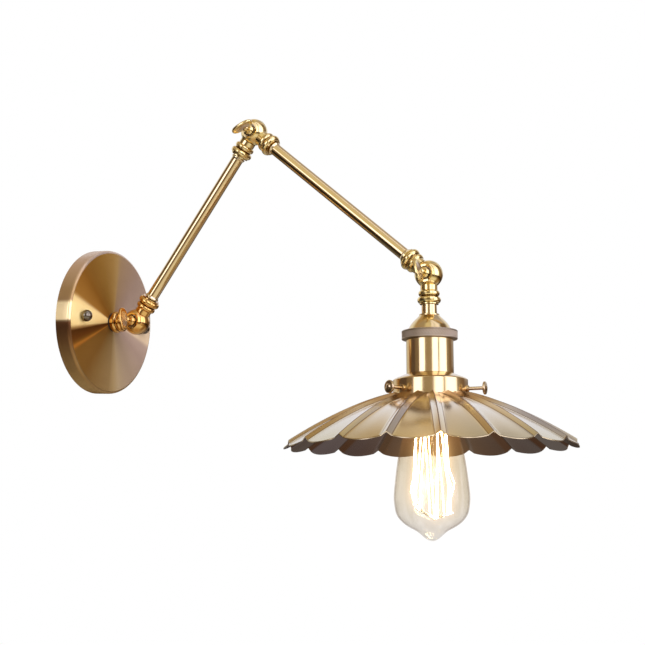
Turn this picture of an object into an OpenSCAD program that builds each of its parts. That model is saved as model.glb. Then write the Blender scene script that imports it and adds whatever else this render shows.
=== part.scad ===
// Adjustable two-arm wall lamp with a scalloped metal shade and a visible bulb.
// Frame: the origin is the centre of the canopy's back face, the wall is the
// plane y = 0, the lamp reaches out along -Y and +Z is up. The three knuckle
// hinges all turn about lines along X. All sizes are in millimetres.

/* [Canopy] */
// Outer diameter of the round wall canopy
canopy_d = 136; // [128:1:160]
// Depth of the canopy, from the wall to its front face
canopy_depth = 16.5; // [15.5:0.5:24]
// Sheet thickness of the canopy
canopy_wall = 1.2; // [0.8:0.1:1.6]
// Distance of each canopy screw from the centre
canopy_screw_x = 48; // [46:1:50]
// How far the canopy's face falls from its middle to its edge
canopy_fall = 1.2; // [0:0.1:1.4]
// Distance between the two wall screw slots of the crossbar
wall_slot_pitch = 60; // [56:1:60]

/* [Arms] */
// Length of the first arm, hinge to hinge
arm_1_len = 210; // [150:1:260]
// Length of the second arm, hinge to hinge
arm_2_len = 226.5; // [150:0.5:280]
// Rise of the first arm above the horizontal, in degrees
arm_1_rise = 56.2; // [35:0.1:80]
// Fall of the second arm below the horizontal, in degrees
arm_2_drop = 37.4; // [20:0.1:55]
// Lean of the lamp head out of the vertical, in degrees
head_tilt = 3.2; // [-20:0.1:20]
// Outer diameter of both arm tubes
tube_d = 11; // [10.8:0.1:12]

/* [Knuckles] */
// Radius of the ball that each pair of knuckle halves makes
ball_r = 12.2; // [12:0.1:12.6]
// Distance of the flat outer face of a half from the hinge plane
flat_x = 9.5; // [9.2:0.1:9.8]
// Turn of the wall thumb screw's leaf about its own axis, in degrees
wall_leaf = -11; // [-90:1:90]
// Turn of the elbow thumb screw's leaf
elbow_leaf = 62; // [-90:1:90]
// Turn of the head thumb screw's leaf
head_leaf = -16; // [-90:1:90]

/* [Lampholder] */
// Outer diameter of the lampholder barrel
barrel_d = 40.3; // [39.6:0.1:41]
// Outer diameter of the knurled ring
knurled_d = 48; // [46:0.5:54]
// Outer diameter of the shade fitter
fitter_d = 64; // [63:0.5:66]

/* [Shade] */
// Outer diameter of the shade over the petal tips
shade_d = 250; // [230:1:280]
// Number of petals
petals = 18; // [12:1:24]
// Sheet thickness of the shade
shade_wall = 0.9; // [0.7:0.1:1.4]
// How far a petal's tip hangs below the notches beside it
petal_hang = 2.3; // [2:0.1:7]
// Height of the ridges between the petals
ridge_h = 3.3; // [1:0.1:4]
// Width of the ridges
ridge_w = 9.5; // [6:0.5:11]

/* [Bulb] */
// Largest diameter of the glass
bulb_d = 64; // [58:1:66]
// Number of strand pairs in the filament cage
filament_loops = 11; // [6:1:14]

/* [Hidden] */

brass = [0.76, 0.60, 0.33];
gold = [0.80, 0.58, 0.26];
satin = [0.72, 0.58, 0.38];
steel = [0.68, 0.68, 0.68];
dark = [0.16, 0.12, 0.10];

split = 0.3;                 // each half's face stands this far off the hinge plane
stem_end = 26.2;             // end of a knuckle's stem, from the hinge
socket_r = 5.05;             // threaded socket in the end of each stem
thread_r = 5.0;              // matching thread on tubes and nipples
bore_r = 3.6;                // wire way through tubes and nipples
k1_y = canopy_depth + 27;    // distance of the wall hinge from the wall
canopy_r = canopy_d / 2;
barrel_r = barrel_d / 2;
fitter_r = fitter_d / 2;
rib_phase = 13.7;            // turn of the ridges about the head's axis
shade_top = 105.2;           // crown of the shade, from the head hinge
notch_z = 146.5;             // notches of the shade's rim, from the head hinge
screw_z = 99.8;              // fitter screws, from the head hinge
screw_az = [83, 203, 323];   // and their directions round its axis

// ---------- places ----------
// Canopy frame: z runs from the wall to the front face.
module canopy_frame() { rotate([90, 0, 0]) children(); }
// Link frames: the hinge is at the origin along X and z runs along the link.
module at_wall_hinge() { translate([0, -k1_y, 0]) children(); }
module wall_frame() { at_wall_hinge() rotate([-90, 0, 0]) children(); }
module arm_1_frame() { at_wall_hinge() rotate([90 - arm_1_rise, 0, 0]) children(); }
module at_elbow() {
  translate([0, -k1_y - arm_1_len * cos(arm_1_rise), arm_1_len * sin(arm_1_rise)]) children();
}
module arm_2_frame() { at_elbow() rotate([90 + arm_2_drop, 0, 0]) children(); }
module at_head_hinge() {
  translate([0, -k1_y - arm_1_len * cos(arm_1_rise) - arm_2_len * cos(arm_2_drop),
             arm_1_len * sin(arm_1_rise) - arm_2_len * sin(arm_2_drop)]) children();
}
module head_frame() { at_head_hinge() rotate([180 - head_tilt, 0, 0]) children(); }
// The far end of a link, seen from that hinge.
module far_end(len) { translate([0, 0, len]) rotate([180, 0, 0]) children(); }

// ---------- shared shapes ----------
module ring(ro, ri, z0, z1) {
  difference() {
    translate([0, 0, z0]) cylinder(r = ro, h = z1 - z0, $fn = 96);
    translate([0, 0, z0 - 1]) cylinder(r = ri, h = z1 - z0 + 2, $fn = 96);
  }
}
module xcyl(r, x0, x1) { translate([x0, 0, 0]) rotate([0, 90, 0]) cylinder(r = r, h = x1 - x0, $fn = 64); }

// Half circle or half ellipse that swells out from radius r0, as profile points.
function swell(r0, dr, zc, hz, n = 8) =
  [for (i = [0:n]) let (a = -90 + 180 * i / n) [r0 + dr * cos(a), zc + hz * sin(a)]];

// A smooth curve through a list of points, k steps between each pair.
function pick(p, i) = p[max(0, min(len(p) - 1, i))];
function between(a, b, c, d, t) =
  0.5 * ((2 * b) + (c - a) * t + (2 * a - 5 * b + 4 * c - d) * t * t + (3 * b - a - 3 * c + d) * t * t * t);
function smooth(p, k) = concat(
  [for (i = [0:len(p) - 2], j = [0:k - 1])
    between(pick(p, i - 1), p[i], p[i + 1], pick(p, i + 2), j / k)], [p[len(p) - 1]]);

function unit(v) = v / norm(v);
// A round wire along a list of points, as one closed skin.
module wire(path, r, sides = 6) {
  n = len(path);
  ref = [0.31, 0.83, 0.17];
  rings = [for (i = [0:n - 1])
    let (t = unit(path[min(n - 1, i + 1)] - path[max(0, i - 1)]),
         u = unit(cross(t, ref)), v = cross(t, u))
    for (j = [0:sides - 1]) path[i] + r * (cos(360 * j / sides) * u + sin(360 * j / sides) * v)];
  polyhedron(rings, concat(
    [[for (j = [0:sides - 1]) j]],
    [for (i = [0:n - 2], j = [0:sides - 1])
      let (a = i * sides + j, b = i * sides + (j + 1) % sides, c = b + sides, d = a + sides)
      each [[a, d, c], [a, c, b]]],
    [[for (j = [sides - 1:-1:0]) (n - 1) * sides + j]]), convexity = 6);
}

// ---------- knuckles ----------
// Turned stem: neck, two beads and a foot.
module stem_solid() {
  rotate_extrude($fn = 96) polygon(concat(
    [[0, 6], [7.3, 6], [7.3, 14.2]],
    swell(7.5, 1.65, 16.75, 2.35),
    swell(7.9, 2.25, 22.4, 2.8),
    [[8.2, 25.3], [8.2, stem_end], [0, stem_end]]));
}
// One half of a knuckle. side = -1 is the -X half, side = 1 the +X half,
// which is the same turned half way round its stem, but with a blind hole.
module knuckle_half(side) {
  rotate([0, 0, side > 0 ? 180 : 0]) difference() {
    union() {
      intersection() {
        sphere(r = ball_r, $fn = 96);
        translate([-flat_x, -20, -20]) cube([flat_x - split, 40, 40]);
      }
      difference() {
        stem_solid();
        // room for the ball of the other half
        intersection() {
          sphere(r = ball_r + 0.35, $fn = 96);
          translate([-split, -20, -20]) cube([20 + split, 40, 40]);
        }
      }
    }
    // hollow round the hinge pin, where the wires cross over
    difference() {
      xcyl(8.8, -6, 0);
      xcyl(5, -7, 7);
    }
    // wire way along the stem, and the threaded socket in its end
    translate([0, 0, 7]) cylinder(r = 3, h = 12, $fn = 48);
    translate([0, 0, stem_end - 10]) cylinder(r = socket_r, h = 12, $fn = 64);
    if (side < 0) {
      xcyl(2.55, -12, 1);
      xcyl(6, -12, -7);
    } else xcyl(2.55, -8, 1);
  }
}
module friction_washer() { color(dark) rotate([0, 90, 0]) ring(11.4, 9.2, -0.25, 0.25); }

// Thumb screw: plain pin through both halves, shoulder, neck and flat leaf.
module thumb_screw() {
  xcyl(2.5, -8.5, 7.5);
  rotate([0, -90, 0]) rotate_extrude($fn = 64) polygon(concat(
    [[0, 7.95], [5.3, 7.95], [5.3, 10.4], [4.9, 11.1]],
    smooth([[4.2, 11.6], [3.3, 13], [3.0, 15], [3.1, 17.5]], 4),
    [[1.4, 19], [0, 19]]));
  rotate([90, 0, 0]) linear_extrude(height = 2.6, center = true)
    polygon([for (a = [0:10:350])
      [-22.6 + 6.4 * sign(cos(a)) * pow(abs(cos(a)), 0.85),
       10.6 * sign(sin(a)) * pow(abs(sin(a)), 0.85)]]);
}
module screw_washer() { color(steel) rotate([0, -90, 0]) ring(5.5, 2.6, 7.1, 7.9); }

// ---------- arm tubes ----------
module arm_tube(len) {
  z0 = stem_end - 9.6;
  z1 = stem_end + 0.4;
  rotate_extrude($fn = 96) polygon([
    [bore_r, z0], [thread_r, z0], [thread_r, z1], [tube_d / 2, z1],
    [tube_d / 2, len - z1], [thread_r, len - z1], [thread_r, len - z0], [bore_r, len - z0]]);
}
module collar_profile(z) {
  rotate_extrude($fn = 96) polygon(concat([[tube_d / 2 + 0.03, z], [tube_d / 2 + 0.5, z]],
    swell(tube_d / 2 + 0.5, 0.35, z + 1.3, 1.1), [[tube_d / 2 + 0.5, z + 2.6], [tube_d / 2 + 0.03, z + 2.6]]));
}
module collars(len) {
  collar_profile(stem_end + 0.5);
  collar_profile(len - stem_end - 3.1);
}
// A pair of wires from one knuckle's hollow to the next.
// s0 and s1 say on which side of the hinge plane each end lies.
module link_wires(len, s0, s1) {
  for (y = [-0.9, 0.9]) color(y < 0 ? "saddlebrown" : "steelblue")
    wire([[1.4 * s0, y, 6.6], [1.4 * s0, y, 10.5], [0.7 * s0, y, 14], [0, y, 18],
          [0, y, len / 2], [0, y, len - 18], [0.7 * s1, y, len - 14], [1.4 * s1, y, len - 10.5],
          [1.4 * s1, y, len - 6.6]], 0.8, 8);
}

// ---------- wall group ----------
// Height of the canopy's slightly domed face at radius r; it is flat round the middle.
function canopy_face(r) = canopy_depth - canopy_fall * pow(max(0, r - 14) / (canopy_r - 17), 2);
module canopy() {
  rr = [14, 24, 34, 44, 54, canopy_r - 3];
  zr = canopy_depth - canopy_fall - 3;
  color(satin) canopy_frame() difference() {
    rotate_extrude($fn = 180) polygon(concat(
      [[socket_r + 0.03, canopy_depth], [socket_r + 0.03, canopy_depth - canopy_wall]],
      [for (r = rr) [r, canopy_face(r) - canopy_wall]],
      [for (a = [75:-15:0]) [canopy_r - 3 + (3 - canopy_wall) * cos(a), zr + (3 - canopy_wall) * sin(a)]],
      [[canopy_r - canopy_wall, 0], [canopy_r, 0]],
      [for (a = [0:15:75]) [canopy_r - 3 + 3 * cos(a), zr + 3 * sin(a)]],
      [for (i = [len(rr) - 1:-1:0]) [rr[i], canopy_face(rr[i])]]));
    for (s = [-1, 1]) translate([s * canopy_screw_x, 0, canopy_depth - 5]) cylinder(r = 2.2, h = 10, $fn = 48);
  }
}

module mounting_crossbar() {
  e = canopy_screw_x;
  color(steel) canopy_frame() difference() {
    union() {
      rotate([90, 0, 0]) linear_extrude(height = 16, center = true) polygon([
        [-e - 7, 5.4], [-e + 3.2, 5.4], [-e + 4.6, 0], [e - 4.6, 0], [e - 3.2, 5.4], [e + 7, 5.4],
        [e + 7, 7], [e - 4.4, 7], [e - 5.8, 1.6], [-e + 5.8, 1.6], [-e + 4.4, 7], [-e - 7, 7]]);
      translate([-9, 7, 0]) cube([18, 31, 1.6]);
      translate([-9, -27, 0]) cube([18, 20, 1.6]);
    }
    for (s = [-1, 1]) {
      translate([s * e, 0, 3]) cylinder(r = 2.0, h = 8, $fn = 48);
      // slot for a wall screw, 11 mm end to end
      translate([s * wall_slot_pitch / 2, 0, -1]) {
        for (t = [-1, 1]) translate([t * 3.3, 0, 0]) cylinder(r = 2.2, h = 4, $fn = 48);
        translate([-3.3, -2.2, 0]) cube([6.6, 4.4, 4]);
      }
    }
    translate([0, -19, -1]) cylinder(r = 2.0, h = 4, $fn = 48);
    translate([0, 32.5, -1]) cylinder(r = 1.6, h = 4, $fn = 48);
  }
}

// Screws with a ball for a head, to be turned by hand.
module canopy_screws() {
  z = canopy_face(canopy_screw_x - 3.9) + 0.02;
  color(gold) canopy_frame() for (s = [-1, 1]) translate([s * canopy_screw_x, 0, 0]) {
    intersection() {
      translate([0, 0, z + 3.9]) sphere(r = 5.5, $fn = 64);
      translate([-7, -7, z]) cube(14);
    }
    translate([0, 0, 2.8]) cylinder(r = 1.97, h = z, $fn = 64);
    translate([0, 0, 2.4]) cylinder(r1 = 1.6, r2 = 1.97, h = 0.4, $fn = 64);
  }
}

module terminal_block() {
  color("ivory") canopy_frame() difference() {
    union() {
      translate([-12, 20, 1.7]) cube([24, 13.6 - 4.4, 10]);
      translate([-3.2, 29.2, 1.7]) cube([6.4, 7, 3]);
    }
    for (s = [-1, 1]) {
      translate([s * 6, 15, 5.6]) rotate([-90, 0, 0]) cylinder(r = 1.7, h = 20, $fn = 32);
      for (y = [22, 27.2]) translate([s * 6, y, 5.6]) cylinder(r = 1.5, h = 9, $fn = 32);
    }
    translate([0, 32.5, 1]) cylinder(r = 1.7, h = 6, $fn = 32);
  }
}
module terminal_screws() {
  color(steel) canopy_frame() {
    for (s = [-1, 1], y = [22, 27.2]) translate([s * 6, y, 0]) difference() {
      translate([0, 0, 6.8]) cylinder(r = 1.4, h = 4, $fn = 32);
      translate([-0.3, -2, 10.2]) cube([0.6, 4, 2]);
    }
    // the screw that holds the block to the crossbar
    translate([0, 32.5, 0]) difference() {
      union() {
        translate([0, 0, 0.2]) cylinder(r = 1.5, h = 5, $fn = 32);
        translate([0, 0, 4.75]) cylinder(r = 2.9, h = 1.8, $fn = 32);
      }
      translate([-0.4, -4, 5.9]) cube([0.8, 8, 2]);
    }
  }
}
module ground_screw() {
  color("gold") canopy_frame() translate([0, -19, 0]) difference() {
    union() {
      translate([0, 0, 0.2]) cylinder(r = 1.95, h = 2.5, $fn = 48);
      translate([0, 0, 1.65]) cylinder(r = 4.4, h = 0.8, $fn = 48);
      translate([0, 0, 2.4]) cylinder(r = 3.6, h = 2.4, $fn = 48);
    }
    translate([-0.5, -5, 3.8]) cube([1, 10, 3]);
  }
}
module wall_wires() {
  canopy_frame() for (s = [-1, 1]) color(s < 0 ? "saddlebrown" : "steelblue")
    wire(concat([[s * 6, 19.6, 5.6], [s * 5.7, 16, 5.4], [s * 4.2, 11.5, 4.6], [s * 2.3, 7, 3.8], [s * 1.1, 4, 3.6]],
      [for (a = [0:22.5:90]) [s * 0.9, 2.7 - 2.5 * sin(a), 6.1 - 2.5 * cos(a)]]), 0.8, 8);
}

module wall_knuckle() { color(gold) wall_frame() knuckle_half(1); }
module wall_nipple() { color(brass) wall_frame() ring(thread_r, bore_r, stem_end - 9.6, 35.6); }
module wall_locknut() {
  color(brass) wall_frame() difference() {
    translate([0, 0, 29.15]) cylinder(r = 8.1, h = 3, $fn = 6);
    translate([0, 0, 28]) cylinder(r = 5.05, h = 6, $fn = 64);
  }
}
module wall_lock_washer() { color(steel) wall_frame() ring(9, 5.1, 28.25, 29.05); }
module canopy_washer() { color(dark) wall_frame() ring(8.8, 5.1, stem_end + 0.05, 26.95); }
module wall_friction_washer() { at_wall_hinge() friction_washer(); }
module swivel_wires() {
  wall_frame() for (y = [-0.9, 0.9]) color(y < 0 ? "saddlebrown" : "steelblue")
    wire([[1.4, y, 6.6], [1.4, y, 10.5], [0.7, y, 14], [0, y, 18], [0, y, 27], [0, y, 36.2]], 0.8, 8);
}

// ---------- arm 1 ----------
module arm_1_lower_knuckle() { color(gold) arm_1_frame() knuckle_half(-1); }
module arm_1_tube() { color(brass) arm_1_frame() arm_tube(arm_1_len); }
module arm_1_collars() { color(brass) arm_1_frame() collars(arm_1_len); }
module arm_1_upper_knuckle() { color(gold) arm_1_frame() far_end(arm_1_len) knuckle_half(1); }
module elbow_friction_washer() { at_elbow() friction_washer(); }
module arm_1_wires() { arm_1_frame() link_wires(arm_1_len, -1, 1); }

// ---------- arm 2 ----------
module arm_2_upper_knuckle() { color(gold) arm_2_frame() knuckle_half(-1); }
module arm_2_tube() { color(brass) arm_2_frame() arm_tube(arm_2_len); }
module arm_2_collars() { color(brass) arm_2_frame() collars(arm_2_len); }
module arm_2_lower_knuckle() { color(gold) arm_2_frame() far_end(arm_2_len) knuckle_half(1); }
module head_friction_washer() { at_head_hinge() friction_washer(); }
module arm_2_wires() { arm_2_frame() link_wires(arm_2_len, -1, 1); }

// ---------- head ----------
module head_knuckle() { color(gold) head_frame() knuckle_half(-1); }
module head_nipple() { color(brass) head_frame() ring(thread_r, bore_r, stem_end - 9.6, 41.5); }
module head_spacer() { color(brass) head_frame() ring(6.55, 5.08, stem_end + 0.05, 34.55); }

function cap_curve() = smooth([[8.75, 35.9], [10.5, 37.7], [13.9, 41], [16.2, 43.9], [17.7, 46.4], [18.8, 48.3]], 5);
module lampholder_cap() {
  c = cap_curve();
  color(satin) head_frame() rotate_extrude($fn = 120) polygon(concat(
    [[5.08, 34.6], [8.4, 34.6], [8.75, 34.95], [8.75, 35.5]], c,
    [[barrel_r - 0.05, 48.4], [barrel_r - 0.05, 48.85], [18.3, 48.85]],
    [for (i = [len(c) - 1:-1:0]) c[i] + [-1.15, 0.75 * (1 - i / (len(c) - 1)) + 0.1]],
    [[5.08, 36.6]]));
}
module cap_locknut() {
  color(brass) head_frame() difference() {
    translate([0, 0, 36.78]) cylinder(r = 7.3, h = 3, $fn = 6);
    translate([0, 0, 35]) cylinder(r = 5.05, h = 6, $fn = 64);
  }
}
module knurled_ring() {
  color([0.62, 0.54, 0.45]) head_frame() rotate_extrude($fn = 120) polygon([
    [barrel_r + 0.05, 48.95], [knurled_d / 2 - 0.7, 48.95], [knurled_d / 2, 49.6],
    [knurled_d / 2, 56.1], [knurled_d / 2 - 0.7, 56.7], [barrel_r + 0.05, 56.7]]);
}
module lampholder_barrel() {
  color(satin) head_frame() rotate_extrude($fn = 120) polygon([
    [barrel_r - 1.2, 48.9], [barrel_r, 48.9], [barrel_r, 86.1],
    [17.4, 86.1], [17.4, 85.2], [barrel_r - 1.2, 85.2]]);
}
module socket_insulator() {
  color("white") head_frame() difference() {
    rotate_extrude($fn = 96) polygon([
      [0, 58], [barrel_r - 1.4, 58], [barrel_r - 1.4, 85.1], [16.5, 85.1], [16.5, 107],
      [14.3, 107], [14.3, 82], [0, 82]]);
    for (s = [-1, 1]) translate([s * 9, 0, 57]) cylinder(r = 2.2, h = 6, $fn = 32);
  }
}
module socket_shell() { color(brass) head_frame() ring(14.2, 13.45, 82.1, 106.6); }
module centre_contact() {
  color(brass) head_frame() {
    translate([-9, -2.5, 82.05]) cube([15, 5, 0.7]);
    translate([0, 0, 82.7]) cylinder(r = 3.2, h = 1.9, $fn = 48);
  }
}
module socket_terminals() {
  color(brass) head_frame() for (s = [-1, 1]) translate([s * 9, 0, 0]) difference() {
    union() {
      translate([0, 0, 57.9]) cylinder(r = 2.1, h = 4.8, $fn = 32);
      translate([-3.5, -3.2, 55]) cube([7, 6.4, 2.95]);
      translate([0, 0, 53.2]) cylinder(r = 2.8, h = 1.85, $fn = 32);
    }
    translate([-0.4, -4, 52]) cube([0.8, 8, 2]);
  }
}
module fitter_ring() {
  color(satin) head_frame() difference() {
    union() {
      rotate_extrude($fn = 120) polygon([
        [16.8, 86.15], [20.6, 86.15], [fitter_r - 1.6, 90.2], [fitter_r - 0.4, 90.9], [fitter_r, 91.8],
        [fitter_r, shade_top - 0.1], [fitter_r - 1.2, shade_top - 0.1], [fitter_r - 1.2, 91.9], [20.4, 87.4], [16.8, 87.4]]);
      for (a = screw_az) rotate([0, 0, a]) translate([fitter_r - 1, 0, screw_z])
        rotate([0, 90, 0]) cylinder(r = 2.8, h = 2.6, $fn = 48);
    }
    for (a = screw_az) rotate([0, 0, a]) translate([fitter_r - 4, 0, screw_z])
      rotate([0, 90, 0]) cylinder(r = 1.55, h = 8, $fn = 48);
  }
}
module fitter_clamp_ring() { color(brass) head_frame() ring(20.3, 16.6, 87.5, 91); }

// Shade: a spun disc pressed into petals, with a roof-shaped ridge between
// each two petals. The same rule gives the outer and the inner skin.
function shade_h(r) =    // fall of the plain disc from its crown to radius r
  (notch_z - shade_top) * (0.47 * (r - 32) / 90.5 + 0.53 * pow(max(0, r - 32) / 90.5, 1.75));
notch_r = shade_d / 2 - 3;
function col_angle(r, k) = // columns of one petal: 0 = ridge, 1 = its foot, ... 6 = foot of the next
  let (p = 360 / petals, w = min(0.4 * p, asin(min(1, ridge_w / 2 / r))))
  k == 0 ? 0 : w + (p - 2 * w) * (k - 1) / 5;
function col_u(k) = k == 0 ? 1 : abs(2 * (k - 1) / 5 - 1);
// s is how far down the shade, 0 at the crown to 1 at the rim.
function shade_pt(s, j, down) =
  let (k = j % 7, i = floor(j / 7), u = col_u(k),
       re = notch_r + 3 * (1 - u * u),
       r = 32 + (re - 32) * s,
       a = rib_phase + 360 / petals * i + col_angle(r, k),
       r0 = 32 + (notch_r - 32) * s,
       dish = petal_hang * pow(s, 1.6) * (1 - u * u),
       ridge = k == 0 ? ridge_h * min(1, 14 * s) : 0)
  [r * cos(a), r * sin(a), shade_top + shade_h(r0) + dish - ridge + down];
function ring_pt(r, z, j) =
  let (a = rib_phase + 360 / petals * floor(j / 7) + col_angle(r, j % 7)) [r * cos(a), r * sin(a), z];
module shade() {
  S = [0, 0.035, 0.075, 0.13, 0.21, 0.32, 0.44, 0.56, 0.68, 0.79, 0.9, 1];
  n = 7 * petals;
  top = [for (s = S) [for (j = [0:n - 1]) shade_pt(s, j, 0)]];
  under = [for (i = [len(S) - 1:-1:0]) [for (j = [0:n - 1]) shade_pt(S[i] * 0.998, j, shade_wall * 1.12)]];
  neck_out = [for (p = [[28.5, 92.5], [28.5, shade_top - 1.3], [29.2, shade_top - 0.08]]) [for (j = [0:n - 1]) ring_pt(p[0], p[1], j)]];
  neck_in = [for (p = [[28.6, shade_top + 0.7], [27.6, shade_top - 0.6], [27.6, 92.5]]) [for (j = [0:n - 1]) ring_pt(p[0], p[1], j)]];
  R = concat(neck_out, top, under, neck_in);
  m = len(R);
  color(satin) head_frame() polyhedron([for (q = R, p = q) p],
    [for (i = [0:m - 1], j = [0:n - 1])
      let (a = i * n + j, b = i * n + (j + 1) % n, c = ((i + 1) % m) * n + (j + 1) % n, d = ((i + 1) % m) * n + j)
      each [[a, d, b], [b, d, c]]], convexity = 10);
}
module head_wires() {
  head_frame() for (s = [-1, 1]) color(s < 0 ? "saddlebrown" : "steelblue")
    wire(concat([[-1.4, s * 0.9, 6.6], [-1.4, s * 0.9, 10.5], [-0.7, s * 0.9, 14], [0, s * 0.9, 18], [0, s * 0.9, 41]],
      smooth([[0, s * 0.9, 43], [s * 2.5, s * 1.5, 46.5], [s * 9, s * 4.4, 49.5], [s * 12.4, s * 4.4, 52.5],
              [s * 13.4, s * 2, 55.4], [s * 13.4, 0, 56.4]], 3)), 0.8, 8);
}

// ---------- thumb screws and their washers ----------
module wall_thumb_screw() { color(gold) at_wall_hinge() rotate([wall_leaf, 0, 0]) thumb_screw(); }
module wall_screw_washer() { at_wall_hinge() screw_washer(); }
module elbow_thumb_screw() { color(gold) at_elbow() rotate([elbow_leaf, 0, 0]) thumb_screw(); }
module elbow_screw_washer() { at_elbow() screw_washer(); }
module head_thumb_screw() { color(gold) at_head_hinge() rotate([head_leaf, 0, 0]) thumb_screw(); }
module head_screw_washer() { at_head_hinge() screw_washer(); }

// Fitter screw: thin shank with a round disc head, radial at angle a.
module fitter_screw(a) {
  color(brass) head_frame() rotate([0, 0, a]) translate([0, 0, screw_z]) rotate([0, 90, 0])
    rotate_extrude($fn = 64) polygon([
      [0, 28.62], [1.2, 28.62], [1.5, 29], [1.5, 46], [2.4, 46.35], [5.1, 46.5], [5.6, 46.9],
      [5.6, 48.1], [5.1, 48.6], [2.6, 48.9], [1.6, 49.4], [0, 49.6]]);
}
module fitter_screw_front() { fitter_screw(screw_az[0]); }
module fitter_screw_left() { fitter_screw(screw_az[1]); }
module fitter_screw_right() { fitter_screw(screw_az[2]); }

// ---------- bulb ----------
function envelope() = smooth([[12.1, 99], [12.15, 107], [13.3, 112.4], [16.2, 119], [20.4, 129], [24.6, 141],
  [28, 156], [30.3, 172], [bulb_d / 2, 188], [bulb_d / 2 - 0.3, 196], [30.3, 203.5], [27, 209], [21.4, 213.9],
  [13.6, 218.2], [10.6, 220.4], [8.2, 222.6], [4.8, 225.3], [2, 226.6], [0, 226.9]], 4);
module bulb_glass() {
  e = envelope();
  n = len(e);
  inner = [for (i = [0:n - 3]) let (t = unit(e[min(n - 1, i + 1)] - e[max(0, i - 1)]))
    e[i] + 0.8 * [-t[1], t[0]]];
  color([0.95, 0.85, 0.7, 0.35]) head_frame() rotate_extrude($fn = 96)
    polygon(concat(e, [[0, 226.1]], [for (i = [len(inner) - 1:-1:0]) if (inner[i][0] > 0.3) inner[i]]));
}
module bulb_cap() {
  color([0.78, 0.72, 0.55]) head_frame() rotate_extrude($fn = 96) polygon(concat(
    [[9.6, 88.9], [11.4, 88.9], [12.6, 90.4]],
    [for (i = [0:3]) each swell(12.55, 0.6, 93.6 + 3.6 * i, 1.5, 6)],
    [[12.6, 107.2], [13.2, 107.8], [13.3, 110.4], [13.0, 110.4], [12.5, 107.6], [12.3, 98.9], [12.2, 91], [11.2, 89.6], [9.6, 89.6]]));
}
module bulb_base_insulator() {
  color(dark) head_frame() rotate_extrude($fn = 64) polygon([
    [3.2, 86.4], [5.4, 86.2], [9.4, 88.6], [9.5, 90.4], [3.2, 90.4]]);
}
module bulb_tip_contact() {
  color(steel) head_frame() rotate_extrude($fn = 64) polygon([
    [0, 84.7], [2.6, 84.9], [4.6, 85.8], [4.8, 86.1], [3.1, 86.3], [3.1, 90], [0, 90]]);
}
module bulb_stem_glass() {
  color([0.9, 0.9, 0.85, 0.4]) head_frame() rotate_extrude($fn = 64) polygon(concat(
    [[0, 100.2], [11.2, 100.2]], smooth([[11.2, 101], [7.6, 104], [4.6, 110], [3.6, 118], [3.0, 126], [1.7, 131]], 4),
    [[1.7, 202], [2.6, 203], [2.6, 205.4], [1.7, 206.2], [0, 206.2]]));
}
fil_top = 136;
fil_low = 203;
// Radius and height of the k-th turning point of the filament cage.
function fil_pt(k) =
  let (a = 360 * k / (2 * filament_loops), low = (k % 4 == 1 || k % 4 == 2))
  [(low ? 15.5 : 14.5) * cos(a), (low ? 15.5 : 14.5) * sin(a), low ? fil_low : fil_top];
module bulb_supports() {
  color(steel) head_frame() {
    for (k = [0:1:2 * filament_loops - 1]) let (p = fil_pt(k), z = p[2] > 170 ? 204.2 : 129.4, q = p[2] > 170 ? 2.62 : 2.35)
      wire([[q * cos(360 * k / (2 * filament_loops)), q * sin(360 * k / (2 * filament_loops)), z],
            [p[0] * 0.92, p[1] * 0.92, p[2] + (p[2] > 170 ? 1 : -1.2)], [p[0] * 0.965, p[1] * 0.965, p[2]]], 0.25, 5);
  }
}
module bulb_filament() {
  color([1, 0.75, 0.3]) head_frame()
    wire([for (k = [0:2 * filament_loops - 1]) each let (p = fil_pt(k), q = fil_pt(k + 1))
      (abs(p[2] - q[2]) > 1 ? [p, [p[0] * 0.75 + q[0] * 0.25, p[1] * 0.75 + q[1] * 0.25, p[2] * 0.75 + q[2] * 0.25],
        [p[0] * 0.25 + q[0] * 0.75, p[1] * 0.25 + q[1] * 0.75, p[2] * 0.25 + q[2] * 0.75]] : [p])], 0.3, 5);
}

canopy();
mounting_crossbar();
canopy_screws();
terminal_block();
terminal_screws();
ground_screw();
wall_wires();
wall_knuckle();
wall_nipple();
wall_locknut();
wall_lock_washer();
canopy_washer();
wall_friction_washer();
swivel_wires();
arm_1_lower_knuckle();
arm_1_tube();
arm_1_collars();
arm_1_upper_knuckle();
elbow_friction_washer();
arm_1_wires();
arm_2_upper_knuckle();
arm_2_tube();
arm_2_collars();
arm_2_lower_knuckle();
head_friction_washer();
arm_2_wires();
head_knuckle();
head_nipple();
head_spacer();
lampholder_cap();
cap_locknut();
knurled_ring();
lampholder_barrel();
socket_insulator();
socket_shell();
centre_contact();
socket_terminals();
fitter_ring();
fitter_clamp_ring();
shade();
head_wires();
wall_thumb_screw();
wall_screw_washer();
elbow_thumb_screw();
elbow_screw_washer();
head_thumb_screw();
head_screw_washer();
fitter_screw_front();
fitter_screw_left();
fitter_screw_right();
bulb_tip_contact();
bulb_base_insulator();
bulb_cap();
bulb_glass();
bulb_stem_glass();
bulb_supports();
bulb_filament();
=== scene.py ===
import math

import bmesh
import bpy
from mathutils import Matrix, Vector


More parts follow.
